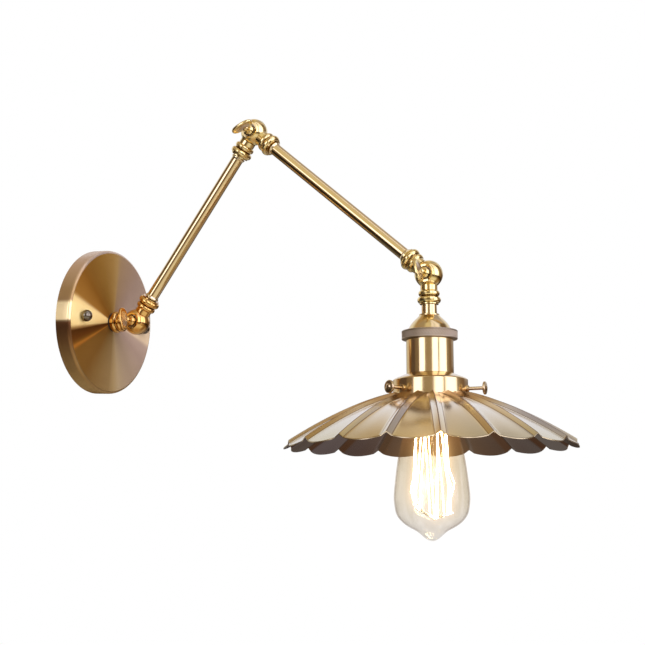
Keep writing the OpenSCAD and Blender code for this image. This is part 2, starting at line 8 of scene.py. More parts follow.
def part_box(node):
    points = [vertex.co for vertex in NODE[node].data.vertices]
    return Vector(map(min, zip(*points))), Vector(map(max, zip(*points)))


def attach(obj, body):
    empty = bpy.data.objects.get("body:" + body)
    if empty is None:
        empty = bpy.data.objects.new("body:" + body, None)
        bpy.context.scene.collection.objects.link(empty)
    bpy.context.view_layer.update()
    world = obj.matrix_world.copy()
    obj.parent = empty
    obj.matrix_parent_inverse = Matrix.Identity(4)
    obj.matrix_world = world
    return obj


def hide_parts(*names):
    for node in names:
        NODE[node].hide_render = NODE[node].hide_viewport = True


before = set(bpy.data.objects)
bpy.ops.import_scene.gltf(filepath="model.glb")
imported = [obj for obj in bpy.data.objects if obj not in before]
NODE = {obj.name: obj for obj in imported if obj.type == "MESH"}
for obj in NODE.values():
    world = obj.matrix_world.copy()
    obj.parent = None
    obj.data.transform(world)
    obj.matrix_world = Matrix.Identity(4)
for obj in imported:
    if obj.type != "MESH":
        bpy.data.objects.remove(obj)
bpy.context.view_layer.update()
MM = 0.001

# ---------------------------------------------------------------- places
ARM_1, ARM_2 = 210.0, 226.5
RISE, DROP, TILT = math.radians(56.2), math.radians(37.4), 3.2
K1 = Vector((0, -43.5, 0))
K2 = K1 + Vector((0, -ARM_1 * math.cos(RISE), ARM_1 * math.sin(RISE)))
K3 = K2 + Vector((0, -ARM_2 * math.cos(DROP), -ARM_2 * math.sin(DROP)))


def at(point, turn):
    return Matrix.Translation(point) @ Matrix.Rotation(math.radians(turn), 4, "X")


CANOPY = at(Vector((0, 0, 0)), 90)
WALL = at(K1, -90)
LINK_1 = at(K1, 90 - 56.2)
LINK_2 = at(K2, 90 + 37.4)
HEAD = at(K3, 180 - TILT)
AXIS_1 = LINK_1.to_3x3() @ Vector((0, 0, 1))
AXIS_2 = LINK_2.to_3x3() @ Vector((0, 0, 1))
AXIS_H = HEAD.to_3x3() @ Vector((0, 0, 1))


# ---------------------------------------------------------------- camera
camera = bpy.data.cameras.new("camera")
camera.sensor_width = 36.0
camera.lens = 1558.62 / 645 * 36.0
camera.clip_start, camera.clip_end = 0.05, 20
cam = bpy.data.objects.new("camera", camera)
bpy.context.scene.collection.objects.link(cam)
RIGHT = Vector((0.45132577, -0.8912051, 0.04537099))
UP = Vector((-0.1270504, -0.01384888, 0.99179958))
LOOK = Vector((0.8832685, 0.45338911, 0.11947832))
cam.matrix_world = Matrix((
    (RIGHT.x, UP.x, -LOOK.x, -1.21816),
    (RIGHT.y, UP.y, -LOOK.y, -0.86522),
    (RIGHT.z, UP.z, -LOOK.z, -0.16812),
    (0, 0, 0, 1)))
bpy.context.scene.camera = cam


# ---------------------------------------------------------------- node help
class Nodes:
    """A short way to write a node tree."""

    def __init__(self, tree):
        self.tree = tree
        tree.nodes.clear()

    def add(self, kind, **props):
        n = self.tree.nodes.new(kind)
        for k, v in props.items():
            setattr(n, k, v)
        return n

    def put(self, node, **values):
        for k, v in values.items():
            s = node.inputs[k.replace("_", " ")] if k.replace("_", " ") in node.inputs else node.inputs[int(k[1:])]
            if isinstance(v, bpy.types.NodeSocket):
                self.tree.links.new(v, s)
            else:
                s.default_value = v
        return node

    def math(self, op, a, b=0.0, clamp=False):
        n = self.add("ShaderNodeMath", operation=op, use_clamp=clamp)
        for i, v in enumerate((a, b)):
            if isinstance(v, bpy.types.NodeSocket):
                self.tree.links.new(v, n.inputs[i])
            else:
                n.inputs[i].default_value = v
        return n.outputs[0]

    def dot(self, a, v):
        n = self.add("ShaderNodeVectorMath", operation="DOT_PRODUCT")
        self.tree.links.new(a, n.inputs[0])
        n.inputs[1].default_value = tuple(v)
        return n.outputs["Value"]

    def ramp(self, fac, stops, interpolation="LINEAR"):
        n = self.add("ShaderNodeValToRGB")
        n.color_ramp.interpolation = interpolation
        e = n.color_ramp.elements
        while len(e) > 1:
            e.remove(e[-1])
        for i, (p, c) in enumerate(stops):
            c = (c, c, c) if isinstance(c, (int, float)) else c
            s = e[0] if i == 0 else e.new(p)
            s.position, s.color = p, (*c, 1)
        self.tree.links.new(fac, n.inputs[0])
        return n.outputs[0]

    def mix(self, fac, a, b, kind="MIX"):
        n = self.add("ShaderNodeMix", data_type="RGBA", blend_type=kind)
        for s, v in ((n.inputs[0], fac), (n.inputs[6], a), (n.inputs[7], b)):
            if isinstance(v, bpy.types.NodeSocket):
                self.tree.links.new(v, s)
            elif s.type == "RGBA":
                s.default_value = (*v, 1)
            else:
                s.default_value = v
        return n.outputs[2]

    def noise(self, vector=None, w=None, scale=5.0, detail=3.0, rough=0.55):
        n = self.add("ShaderNodeTexNoise")
        if w is not None:
            n.noise_dimensions = "1D"
            self.tree.links.new(w, n.inputs["W"])
        else:
            self.tree.links.new(vector, n.inputs["Vector"])
        n.inputs["Scale"].default_value = scale
        n.inputs["Detail"].default_value = detail
        n.inputs["Roughness"].default_value = rough
        return n.outputs["Fac"]


def lin(r, g, b):
    """A display colour, 0 to 255, as the linear one that nodes use."""
    return tuple((x / 255 / 12.92) if x <= 10 else ((x / 255 + 0.055) / 1.055) ** 2.4 for x in (r, g, b))


# ---------------------------------------------------------------- materials
def material(name):
    m = bpy.data.materials.new(name)
    m.use_nodes = True
    g = Nodes(m.node_tree)
    out = g.add("ShaderNodeOutputMaterial")
    p = g.add("ShaderNodeBsdfPrincipled")
    g.tree.links.new(p.outputs[0], out.inputs[0])
    return m, g, p, out


def metal(name, light, dark, rough, grain="cast", axis=(0, 0, 1), origin=(0, 0, 0), lines=0.10, blotch=0.5,
          blotch_size=0.03, anisotropic=0.0, tangent=None, coat=0.0, coat_rough=0.12, bump=0.15, speck=0.0, rotation=0.0, knurled=None, painted_light_ramp=None, grime_and_painted_shade=None):
    """Metal with a patina, fine grain and tool marks. grain says which way the marks run:
    turned = rings round axis, spun = rings on a flat face, drawn = lines along axis, cast = none."""
    m, g, p, _ = material(name)
    where = g.add("ShaderNodeTexCoord").outputs["Object"]
    a = Vector(axis).normalized()
    shift = g.add("ShaderNodeVectorMath", operation="SUBTRACT")
    g.tree.links.new(where, shift.inputs[0])
    shift.inputs[1].default_value = tuple(x * MM for x in origin)
    local = shift.outputs[0]
    along = g.dot(local, a)
    patina = g.noise(vector=local, scale=1 / blotch_size, detail=5, rough=0.6)
    fine = g.noise(vector=local, scale=1400, detail=2)
    if grain == "turned":
        marks = g.noise(w=along, scale=3800, detail=3, rough=0.7)
    elif grain == "spun":
        cross = g.add("ShaderNodeVectorMath", operation="CROSS_PRODUCT")
        g.tree.links.new(local, cross.inputs[0])
        cross.inputs[1].default_value = tuple(a)
        length = g.add("ShaderNodeVectorMath", operation="LENGTH")
        g.tree.links.new(cross.outputs[0], length.inputs[0])
        marks = g.noise(w=length.outputs["Value"], scale=2600, detail=4, rough=0.75)
    elif grain == "drawn":
        squeeze = g.add("ShaderNodeVectorMath", operation="SCALE")
        squeeze.inputs[0].default_value = tuple(a)
        g.tree.links.new(g.math("MULTIPLY", along, -0.975), squeeze.inputs["Scale"])
        flat = g.add("ShaderNodeVectorMath", operation="ADD")
        g.tree.links.new(local, flat.inputs[0])
        g.tree.links.new(squeeze.outputs[0], flat.inputs[1])
        marks = g.noise(vector=flat.outputs[0], scale=2400, detail=3, rough=0.7)
    else:
        marks = g.noise(vector=local, scale=520, detail=4, rough=0.7)
    worn = g.ramp(patina, [(0.30, 1.0), (0.70, 0.0)])
    fac = g.math("MULTIPLY", worn, blotch)
    fac = g.math("ADD", fac, g.math("MULTIPLY", g.math("SUBTRACT", marks, 0.5), lines * 4))
    if speck:
        spots = g.ramp(g.noise(vector=local, scale=310, detail=4, rough=0.75), [(0.66, 0.0), (0.74, 1.0)])
        fac = g.math("ADD", fac, g.math("MULTIPLY", spots, speck))
    fac = g.math("MAXIMUM", g.math("MINIMUM", fac, 1.0), 0.0)
    skin = g.mix(fac, light, dark)
    if knurled:
        # dirt and painted shade between the crossed ridges of a knurl: teeth round, pitch and start along
        teeth, pitch, start = knurled
        side = Vector((1, 0, 0))
        turned = g.math("MULTIPLY", g.math("ARCTAN2", g.dot(local, a.cross(side)), g.dot(local, side)), teeth)
        along = g.math("MULTIPLY", g.math("SUBTRACT", g.dot(local, a), start * MM), 2 * math.pi / (pitch * MM))
        waves = [g.math("ABSOLUTE", g.math("SINE", g.math("MULTIPLY", g.math(kind, turned, along), 0.5))) for kind in ("ADD", "SUBTRACT")]
        low = g.math("MULTIPLY", g.math("ADD", *waves), 0.5)
        skin = g.mix(g.ramp(low, [(0.40, 0.0), (0.66, 0.45), (0.92, 0.92)]), skin, (0.07, 0.045, 0.03))
    if grime_and_painted_shade:
        # ambient occlusion darkens the grooves and the joins between beads: partly dark lacquer left in them, partly
        # painted shade
        reach, tone = grime_and_painted_shade
        ao = g.add("ShaderNodeAmbientOcclusion")
        ao.inputs["Distance"].default_value = reach * MM
        skin = g.mix(g.ramp(ao.outputs["AO"], [(0.25, 0.95), (0.65, 0.50), (0.90, 0.0)]), skin, tone)
    if painted_light_ramp:
        # painted light along the axis, between two distances from its origin: the colour is multiplied by a ramp, for
        # painted shade and painted reflection
        near, far, stops = painted_light_ramp
        level = g.math("DIVIDE", g.math("SUBTRACT", g.dot(local, a), near * MM), (far - near) * MM)
        skin = g.mix(1.0, skin, g.ramp(level, stops), "MULTIPLY")
    g.put(p, Base_Color=skin, Metallic=1.0)
    r = g.math("ADD", g.math("MULTIPLY", g.math("SUBTRACT", marks, 0.5), lines), rough)
    r = g.math("ADD", g.math("MULTIPLY", g.math("SUBTRACT", fine, 0.5), 0.06), r)
    r = g.math("ADD", g.math("MULTIPLY", g.math("SUBTRACT", patina, 0.5), 0.10), r)
    g.put(p, Roughness=g.math("MAXIMUM", r, 0.04))
    if anisotropic:
        g.put(p, Anisotropic=anisotropic, Anisotropic_Rotation=rotation)
        t = g.add("ShaderNodeTangent", direction_type="RADIAL", axis=tangent or "Z")
        g.put(p, Tangent=t.outputs[0])
    if coat:
        g.put(p, Coat_Weight=coat, Coat_Roughness=coat_rough, Coat_IOR=1.5)
    if bump:
        b = g.add("ShaderNodeBump")
        b.inputs["Strength"].default_value = bump
        b.inputs["Distance"].default_value = 0.00006
        g.put(b, Height=g.math("ADD", marks, g.math("MULTIPLY", fine, 0.4)))
        g.put(p, Normal=b.outputs[0])
    return m


def spun_face_painted_fans(name, painted_sheen_sectors, rough=0.31, lean=0.80, matt=0.5):
    """Brass turned on a lathe: fine rings about y with an anisotropic sheen, and a colour painted by angle round the
    face: painted highlights and painted shade in fans, standing in for the light a spun face reflects.
    """
    m, g, p, out = material(name)
    g.tree.nodes.remove(p)
    where = g.add("ShaderNodeTexCoord").outputs["Object"]
    cross = g.add("ShaderNodeVectorMath", operation="CROSS_PRODUCT")
    g.tree.links.new(where, cross.inputs[0])
    cross.inputs[1].default_value = (0, 1, 0)
    length = g.add("ShaderNodeVectorMath", operation="LENGTH")
    g.tree.links.new(cross.outputs[0], length.inputs[0])
    rings = g.noise(w=length.outputs["Value"], scale=2600, detail=4, rough=0.75)
    patina = g.noise(vector=where, scale=34, detail=5, rough=0.6)
    axes = g.add("ShaderNodeSeparateXYZ")
    g.tree.links.new(where, axes.inputs[0])
    turn = g.math("ADD", g.math("DIVIDE", g.math("ARCTAN2", axes.outputs[0], axes.outputs[2]), 2 * math.pi), 0.5)
    turn = g.math("ADD", turn, g.math("MULTIPLY", g.math("SUBTRACT", rings, 0.5), 0.008))
    # painted highlights and painted shade: the colour is set by the angle round the face
    skin = g.ramp(turn, [((q + 180) / 360, c) for q, c in painted_sheen_sectors])
    fleck = g.math("ADD", g.math("MULTIPLY", g.math("SUBTRACT", rings, 0.5), 0.34), g.math("ADD", g.math("MULTIPLY", g.math("SUBTRACT", patina, 0.5), 0.22), 1.0))
    skin = g.mix(1.0, skin, fleck, "MULTIPLY")
    t = g.add("ShaderNodeTangent", direction_type="RADIAL", axis="Y")
    b = g.add("ShaderNodeBump")
    b.inputs["Strength"].default_value = 0.04
    b.inputs["Distance"].default_value = 0.00006
    g.put(b, Height=rings)
    shine = g.add("ShaderNodeBsdfAnisotropic")
    g.tree.links.new(skin, shine.inputs["Color"])
    shine.inputs["Anisotropy"].default_value = lean
    shine.inputs["Rotation"].default_value = 0.0
    g.tree.links.new(g.math("ADD", g.math("MULTIPLY", g.math("SUBTRACT", rings, 0.5), 0.05), rough), shine.inputs["Roughness"])
    g.tree.links.new(t.outputs[0], shine.inputs["Tangent"])
    g.tree.links.new(b.outputs[0], shine.inputs["Normal"])
    soft = g.add("ShaderNodeBsdfDiffuse")
    g.tree.links.new(skin, soft.inputs["Color"])
    mix = g.add("ShaderNodeMixShader")
    mix.inputs[0].default_value = matt
    g.tree.links.new(shine.outputs[0], mix.inputs[1])
    g.tree.links.new(soft.outputs[0], mix.inputs[2])
    g.tree.links.new(mix.outputs[0], out.inputs[0])
    return m


def plain(name, light, dark, rough, scale=300, spec=0.5, bump=0.2, metallic=0.0, sheen=0.0):
    """Plastic, fibre, rubber or glazed ware, with mottling and a fine surface."""
    m, g, p, _ = material(name)
    where = g.add("ShaderNodeTexCoord").outputs["Object"]
    big = g.noise(vector=where, scale=scale, detail=4, rough=0.6)
    small = g.noise(vector=where, scale=scale * 9, detail=2)
    g.put(p, Base_Color=g.mix(g.ramp(big, [(0.35, 0.0), (0.65, 1.0)]), light, dark), Metallic=metallic)
    g.put(p, Roughness=g.math("ADD", g.math("MULTIPLY", g.math("SUBTRACT", small, 0.5), 0.15), rough))
    g.put(p, Specular_IOR_Level=spec)
    if sheen:
        g.put(p, Sheen_Weight=sheen)
    b = g.add("ShaderNodeBump")
    b.inputs["Strength"].default_value = bump
    b.inputs["Distance"].default_value = 0.00005
    g.put(b, Height=small)
    g.put(p, Normal=b.outputs[0])
    return m


GOLD = (0.80, 0.52, 0.19)
GOLD_D = (0.42, 0.21, 0.055)
M = {}
# painted fans of light on the canopy face: the bright wedges are painted highlights, the dark wedges painted shade
M["canopy"] = spun_face_painted_fans("canopy_spun_brass_painted_fans", [
    (-180, (0.40, 0.25, 0.095)), (-160, (0.33, 0.19, 0.060)), (-142, (0.27, 0.130, 0.028)), (-120, (0.25, 0.115, 0.022)), (-118.4, (0.46, 0.17, 0.024)), (-116, (0.46, 0.17, 0.024)), (-115, (0.22, 0.090, 0.014)),
    (-111, (0.15, 0.050, 0.009)), (-104, (0.095, 0.032, 0.006)), (-101.5, (0.45, 0.24, 0.07)), (-99.5, (0.98, 0.71, 0.27)), (-90, (1.0, 0.77, 0.32)), (-80, (1.0, 0.76, 0.31)), (-75.5, (0.90, 0.65, 0.26)), (-73, (0.50, 0.29, 0.085)),
    (-71, (0.33, 0.150, 0.027)), (-50, (0.29, 0.122, 0.018)), (-22, (0.41, 0.215, 0.044)), (-4, (0.50, 0.29, 0.082)), (3, (0.54, 0.34, 0.12)), (9, (0.47, 0.31, 0.165)), (40, (0.49, 0.345, 0.25)), (80, (0.54, 0.40, 0.30)),
    (86, (0.66, 0.50, 0.30)), (102, (0.82, 0.62, 0.37)), (106, (0.50, 0.36, 0.255)), (120, (0.44, 0.31, 0.22)), (150, (0.58, 0.43, 0.27)), (164, (0.64, 0.48, 0.26)), (172, (0.56, 0.39, 0.17)), (180, (0.40, 0.25, 0.095))])
# a painted highlight band on the canopy's rounded edge and side, with painted shade beside it
M["canopy_side"] = spun_face_painted_fans("canopy_side_brass_painted_highlight", [
    (-180, (0.36, 0.22, 0.085)), (-150, (0.36, 0.22, 0.080)), (-130, (0.33, 0.19, 0.065)), (-112, (0.20, 0.095, 0.033)), (-100, (0.13, 0.055, 0.020)), (-95.8, (0.13, 0.055, 0.020)),
    (-94.8, (1.0, 0.78, 0.40)), (-81, (1.0, 0.80, 0.42)), (-79.6, (0.40, 0.25, 0.11)), (-70, (0.40, 0.25, 0.105)), (-55, (0.52, 0.35, 0.19)), (-30, (0.60, 0.48, 0.38)), (30, (0.60, 0.48, 0.38)),
    (90, (0.50, 0.36, 0.20)), (180, (0.36, 0.22, 0.085))], 0.22, 0.3, 0.4)
M["canopy_in"] = metal("canopy_inside", (0.45, 0.33, 0.17), (0.20, 0.13, 0.06), 0.5, "spun", (0, 1, 0), blotch=0.9, bump=0.3, speck=0.4)
M["nut"] = metal("dark_ball_nut", (0.30, 0.26, 0.19), (0.10, 0.075, 0.05), 0.16, "cast", blotch=0.8, blotch_size=0.004, bump=0.08)
# knuckles: grooves and joins between beads darkened by ambient occlusion, partly dark lacquer, partly painted shade
for key, o, tone in (("k1", K1, (0.82, 0.49, 0.15)), ("k2", K2, (0.90, 0.71, 0.33)), ("k3", K3, (0.93, 0.73, 0.31))):
    M[key] = metal("polished_brass_" + key, tone, tuple(x * y for x, y in zip(tone, (0.85, 0.70, 0.5))), 0.13, "cast", (1, 0, 0), o, lines=0.02,
                   blotch=0.25, blotch_size=0.012, coat=0.1, coat_rough=0.08, bump=0.004, speck=0.01, grime_and_painted_shade=(2.2, (0.19, 0.070, 0.022)))
M["leaf"] = metal("thumb_leaf_face", (0.78, 0.66, 0.50), (0.62, 0.48, 0.33), 0.26, "cast", lines=0.08, blotch=0.4, blotch_size=0.005, bump=0.05)
# painted shadow: the tube ends in the gaps beside the ferrules are near black
M["gap"] = metal("tube_end_painted_shadow", (0.055, 0.038, 0.022), (0.03, 0.02, 0.012), 0.5, "cast", lines=0.1, blotch=0.6, blotch_size=0.004, bump=0.1)
M["tube_1"] = metal("tube_brass_1", (0.82, 0.63, 0.33), (0.66, 0.45, 0.20), 0.10, "drawn", AXIS_1, K1, lines=0.025, blotch=0.3, bump=0.008)
M["tube_2"] = metal("tube_brass_2", (0.82, 0.63, 0.33), (0.66, 0.45, 0.20), 0.10, "drawn", AXIS_2, K2, lines=0.025, blotch=0.3, bump=0.008)
M["collar_1"] = metal("collar_brass_1", (0.90, 0.76, 0.48), (0.66, 0.46, 0.22), 0.16, "turned", AXIS_1, K1, lines=0.04, blotch=0.3, bump=0.03)
M["collar_2"] = metal("collar_brass_2", (0.90, 0.76, 0.48), (0.66, 0.46, 0.22), 0.16, "turned", AXIS_2, K2, lines=0.04, blotch=0.3, bump=0.03)
M["holder"] = metal("holder_satin_brass", (0.81, 0.62, 0.32), (0.64, 0.44, 0.19), 0.13, "turned", AXIS_H, K3, lines=0.06,
                    blotch=0.25, anisotropic=0.3, coat=0.1, coat_rough=0.1, bump=0.03)
M["fitter"] = metal("fitter_satin_brass", (0.77, 0.58, 0.30), (0.58, 0.38, 0.15), 0.13, "turned", AXIS_H, K3, lines=0.06,
                    blotch=0.25, anisotropic=0.3, coat=0.1, coat_rough=0.1, bump=0.03)
M["dome"] = metal("dome_satin_brass", (0.82, 0.63, 0.31), (0.62, 0.42, 0.16), 0.15, "turned", AXIS_H, K3, lines=0.06,
                  blotch=0.25, coat=0.1, bump=0.03)
# the knurl valleys get dirt and painted shade
M["knurl"] = metal("knurled_antique_brass", (0.86, 0.72, 0.53), (0.62, 0.48, 0.32), 0.34, "cast", AXIS_H, K3, lines=0.12,
                   blotch=0.5, blotch_size=0.005, bump=0.1, knurled=(54, 2.8, 49.7))
# painted shade on the lampshade just under the fitter, lighter painted reflection on the upper petals, and a darker,
# more golden tone towards the rim
M["shade"] = metal("shade_satin_brass", (0.87, 0.78, 0.66), (0.74, 0.61, 0.45), 0.17, "cast", AXIS_H, K3, lines=0.04,
                   blotch=0.22, blotch_size=0.05, coat=0.25, coat_rough=0.14, bump=0.02, painted_light_ramp=(103, 146, [(0.0, (0.52, 0.34, 0.16)), (0.17, (0.64, 0.47, 0.27)), (0.25, (0.84, 0.76, 0.60)), (0.34, (1, 1, 1)), (1.0, (0.76, 0.725, 0.53))]))
# painted shade: dark lines along the ridge crests and ridge feet of the lampshade
M["crease"] = metal("shade_crease_line", (0.25, 0.15, 0.075), (0.18, 0.10, 0.050), 0.24, "cast", AXIS_H, K3, lines=0.04,
                    blotch=0.3, blotch_size=0.03, coat=0.1, coat_rough=0.2, bump=0.02)
M["shade_in"] = metal("shade_inside_bronze", (0.118, 0.066, 0.047), (0.070, 0.034, 0.025), 0.28, "cast", AXIS_H, K3, lines=0.05,
                      blotch=0.5, blotch_size=0.04, coat=0.30, coat_rough=0.14, bump=0.04)
M["rim"] = metal("shade_rim_bright", (0.50, 0.42, 0.25), (0.36, 0.25, 0.13), 0.3, "cast", AXIS_H, K3, lines=0.1, blotch=0.5, bump=0.05)
M["screw"] = metal("screw_brass", (0.74, 0.58, 0.34), (0.42, 0.28, 0.14), 0.20, "cast", AXIS_H, K3, lines=0.08, blotch=0.6,
                   blotch_size=0.006, bump=0.06, speck=0.1)
M["contact"] = metal("contact_brass", (0.86, 0.68, 0.34), (0.55, 0.40, 0.18), 0.25, "turned", AXIS_H, K3, lines=0.2, blotch=0.6, blotch_size=0.01)
M["nickel"] = metal("bulb_cap_metal", (0.80, 0.74, 0.58), (0.50, 0.42, 0.28), 0.20, "turned", AXIS_H, K3, lines=0.12, blotch=0.5, blotch_size=0.008)
M["steel"] = metal("zinc_steel", (0.66, 0.66, 0.66), (0.40, 0.41, 0.43), 0.34, "drawn", (1, 0, 0), lines=0.2, blotch=0.8, blotch_size=0.006, bump=0.2, speck=0.15)
M["solder"] = metal("solder", (0.62, 0.62, 0.64), (0.36, 0.36, 0.38), 0.30, "cast", lines=0.2, blotch=0.8, blotch_size=0.002, bump=0.4)
M["fibre"] = plain("fibre_washer", (0.055, 0.040, 0.034), (0.022, 0.016, 0.014), 0.65, 900)
M["block"] = plain("terminal_plastic", (0.72, 0.69, 0.60), (0.62, 0.58, 0.48), 0.42, 260)
M["porcelain"] = plain("glazed_porcelain", (0.86, 0.85, 0.81), (0.74, 0.72, 0.66), 0.12, 120, 0.6, 0.06)
M["black"] = plain("black_base_glass", (0.012, 0.012, 0.016), (0.030, 0.028, 0.030), 0.14, 400, 0.6, 0.08)


def wire_material(name, one, two, axis):
    """Two-wire lead: one colour each side of the middle plane, mottled with noise."""
    m, g, p, _ = material(name)
    where = g.add("ShaderNodeTexCoord").outputs["Object"]
    side = g.math("GREATER_THAN", g.dot(where, (1, 0, 0)) if axis == "X" else g.dot(where, axis[1]), axis[2] if axis != "X" else 0.0)
    n = g.noise(vector=where, scale=700, detail=3)
    c1 = g.mix(n, one, tuple(x * 0.55 for x in one))
    c2 = g.mix(n, two, tuple(x * 0.55 for x in two))
    g.put(p, Base_Color=g.mix(side, c1, c2))
    g.put(p, Roughness=g.math("ADD", g.math("MULTIPLY", n, 0.3), 0.35))
    return m


def split(frame_matrix):
    """The plane between the two wires of a link: normal along the link frame's y."""
    n = frame_matrix.to_3x3() @ Vector((0, 1, 0))
    return ("plane", tuple(n), n.dot(frame_matrix.translation) * MM)


BROWN, BLUE = (0.16, 0.065, 0.025), (0.035, 0.11, 0.30)
M["wires_wall"] = wire_material("wires_wall", BROWN, BLUE, "X")
M["wires_swivel"] = wire_material("wires_swivel", BROWN, BLUE, split(WALL))
M["wires_1"] = wire_material("wires_arm_1", BROWN, BLUE, split(LINK_1))
M["wires_2"] = wire_material("wires_arm_2", BROWN, BLUE, split(LINK_2))
M["wires_head"] = wire_material("wires_head", BROWN, BLUE, split(HEAD))


def glass(name, tint, edge, gloss=0.05, power=2.2, painted_glow=0.0, neck=(1, 1, 1)):
    """Thin clear glass: see-through with a tint that deepens at the limb, painted highlight streaks, an optional
    painted glow near the neck, and a sharp reflection.
    """
    m, g, p, out = material(name)
    g.tree.nodes.remove(p)
    where = g.add("ShaderNodeTexCoord").outputs["Object"]
    facing = g.add("ShaderNodeLayerWeight")
    facing.inputs["Blend"].default_value = 0.5
    f = g.math("POWER", facing.outputs["Facing"], power)
    # painted highlight streaks along the bulb, where the tint is lightened towards white, and a deeper tint near the
    # neck
    depth = g.math("DIVIDE", g.math("SUBTRACT", g.dot(where, AXIS_H), AXIS_H.dot(K3) * MM), MM)
    squeeze = g.add("ShaderNodeVectorMath", operation="SCALE")
    squeeze.inputs[0].default_value = tuple(AXIS_H)
    g.tree.links.new(g.math("MULTIPLY", g.dot(where, AXIS_H), -0.98), squeeze.inputs["Scale"])
    flat = g.add("ShaderNodeVectorMath", operation="ADD")
    g.tree.links.new(where, flat.inputs[0])
    g.tree.links.new(squeeze.outputs[0], flat.inputs[1])
    streak_highlight = g.ramp(g.noise(vector=flat.outputs[0], scale=110, detail=2), [(0.48, 0.0), (0.62, 1.0)])
    body = g.mix(g.ramp(g.math("DIVIDE", depth, 230.0), [(0.55, 1.3), (0.70, 1.0), (0.84, 0.55), (0.93, 0.0)]), tint, tuple(a * b for a, b in zip(tint, neck)))
    t = g.mix(f, body, edge)
    t = g.mix(g.math("MULTIPLY", streak_highlight, 0.30), t, (1, 1, 1))
    clear = g.add("ShaderNodeBsdfTransparent")
    g.tree.links.new(t, clear.inputs[0])
    shine = g.add("ShaderNodeBsdfGlossy")
    shine.inputs["Color"].default_value = (1, 0.98, 0.94, 1)
    shine.inputs["Roughness"].default_value = 0.04
    grazing = g.math("POWER", facing.outputs["Facing"], 5.0)
    k = g.math("MULTIPLY", g.math("ADD", g.math("MULTIPLY", grazing, 0.96), 0.04), gloss)
    mix = g.add("ShaderNodeMixShader")
    g.tree.links.new(k, mix.inputs[0])
    g.tree.links.new(clear.outputs[0], mix.inputs[1])
    g.tree.links.new(shine.outputs[0], mix.inputs[2])
    last = mix.outputs[0]
    if painted_glow:
        # painted glow: the glass near the neck emits a little orange light, standing in for the glare round the lit
        # filament
        near = g.ramp(g.math("DIVIDE", depth, 230.0), [(0.50, 1.0), (0.60, 0.9), (0.71, 0.0)])
        light = g.add("ShaderNodeEmission")
        light.inputs["Color"].default_value = (1.0, 0.42, 0.14, 1)
        g.tree.links.new(g.math("MULTIPLY", near, painted_glow), light.inputs["Strength"])
        both = g.add("ShaderNodeAddShader")
        g.tree.links.new(last, both.inputs[0])
        g.tree.links.new(light.outputs[0], both.inputs[1])
        last = both.outputs[0]
    g.tree.links.new(last, out.inputs[0])
    return m


# the bulb glass gets painted highlight streaks and a painted glow near the neck
M["glass"] = glass("bulb_glass_tinted", (0.925, 0.912, 0.890), (0.34, 0.31, 0.29), 0.45, 13.0, 0.040, (0.960, 0.950, 0.915))
M["stem_glass"] = glass("stem_glass_clear", (0.97, 0.95, 0.91), (0.72, 0.66, 0.58), 0.6, 3.0)


def glow(name, colour, strength):
    m, g, p, _ = material(name)
    where = g.add("ShaderNodeTexCoord").outputs["Object"]
    n = g.noise(vector=where, scale=240, detail=2)
    g.put(p, Base_Color=g.mix(n, (0.5, 0.35, 0.2), (0.3, 0.2, 0.1)))
    g.put(p, Emission_Color=g.mix(g.ramp(n, [(0.40, 0.0), (0.62, 1.0)]), colour, (1.0, 0.62, 0.22)))
    g.put(p, Emission_Strength=strength)
    return m


M["filament"] = glow("glowing_filament", (1.0, 0.88, 0.66), 34.0)
M["support"] = metal("support_wire", (0.62, 0.55, 0.44), (0.35, 0.28, 0.20), 0.3, "cast", lines=0.2, blotch=0.6, blotch_size=0.002)


# ---------------------------------------------------------------- mesh help
def piece(name, verts, faces, place, body, mats, replaces=(), material_of=None, sharp=32.0, solid=True):
    """One new mesh piece. verts are in mm in the frame that place gives."""
    me = bpy.data.meshes.new(name)
    me.from_pydata([tuple((place @ Vector(v)) * MM) for v in verts], [], faces)
    o = bpy.data.objects.new(name, me)
    bpy.context.scene.collection.objects.link(o)
    for x in mats:
        me.materials.append(x)
    if material_of is not None:
        me.polygons.foreach_set("material_index", [material_of(i) for i in range(len(faces))])
    if solid:
        bm = bmesh.new()
        bm.from_mesh(me)
        bmesh.ops.recalc_face_normals(bm, faces=bm.faces)
        bm.to_mesh(me)
        bm.free()
    me.shade_smooth()
    me.set_sharp_from_angle(angle=math.radians(sharp))
    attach(o, body)
    if replaces:
        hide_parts(*replaces)
    return o


def fillet(points, k=5):
    """Rounds the corners of a closed outline. A point is (r, z) or (r, z, corner radius)."""
    out = []
    n = len(points)
    for i, p in enumerate(points):
        if len(p) < 3 or p[2] <= 0:
            out.append((p[0], p[1]))
            continue
        c = Vector(p[:2])
        a = Vector(points[i - 1][:2]) - c
        b = Vector(points[(i + 1) % n][:2]) - c
        la, lb = a.length, b.length
        a.normalize(), b.normalize()
        half = math.acos(max(-1, min(1, a.dot(b)))) / 2
        cut = min(p[2] / max(math.tan(half), 1e-6), la * 0.49, lb * 0.49)
        r = cut * math.tan(half)
        centre = c + (a + b).normalized() * (r / max(math.sin(half), 1e-6))
        s, e = c + a * cut - centre, c + b * cut - centre
        a0, a1 = math.atan2(s.y, s.x), math.atan2(e.y, e.x)
        d = (a1 - a0 + math.pi) % (2 * math.pi) - math.pi
        for j in range(k + 1):
            t = a0 + d * j / k
            out.append((centre.x + r * math.cos(t), centre.y + r * math.sin(t)))
    return out


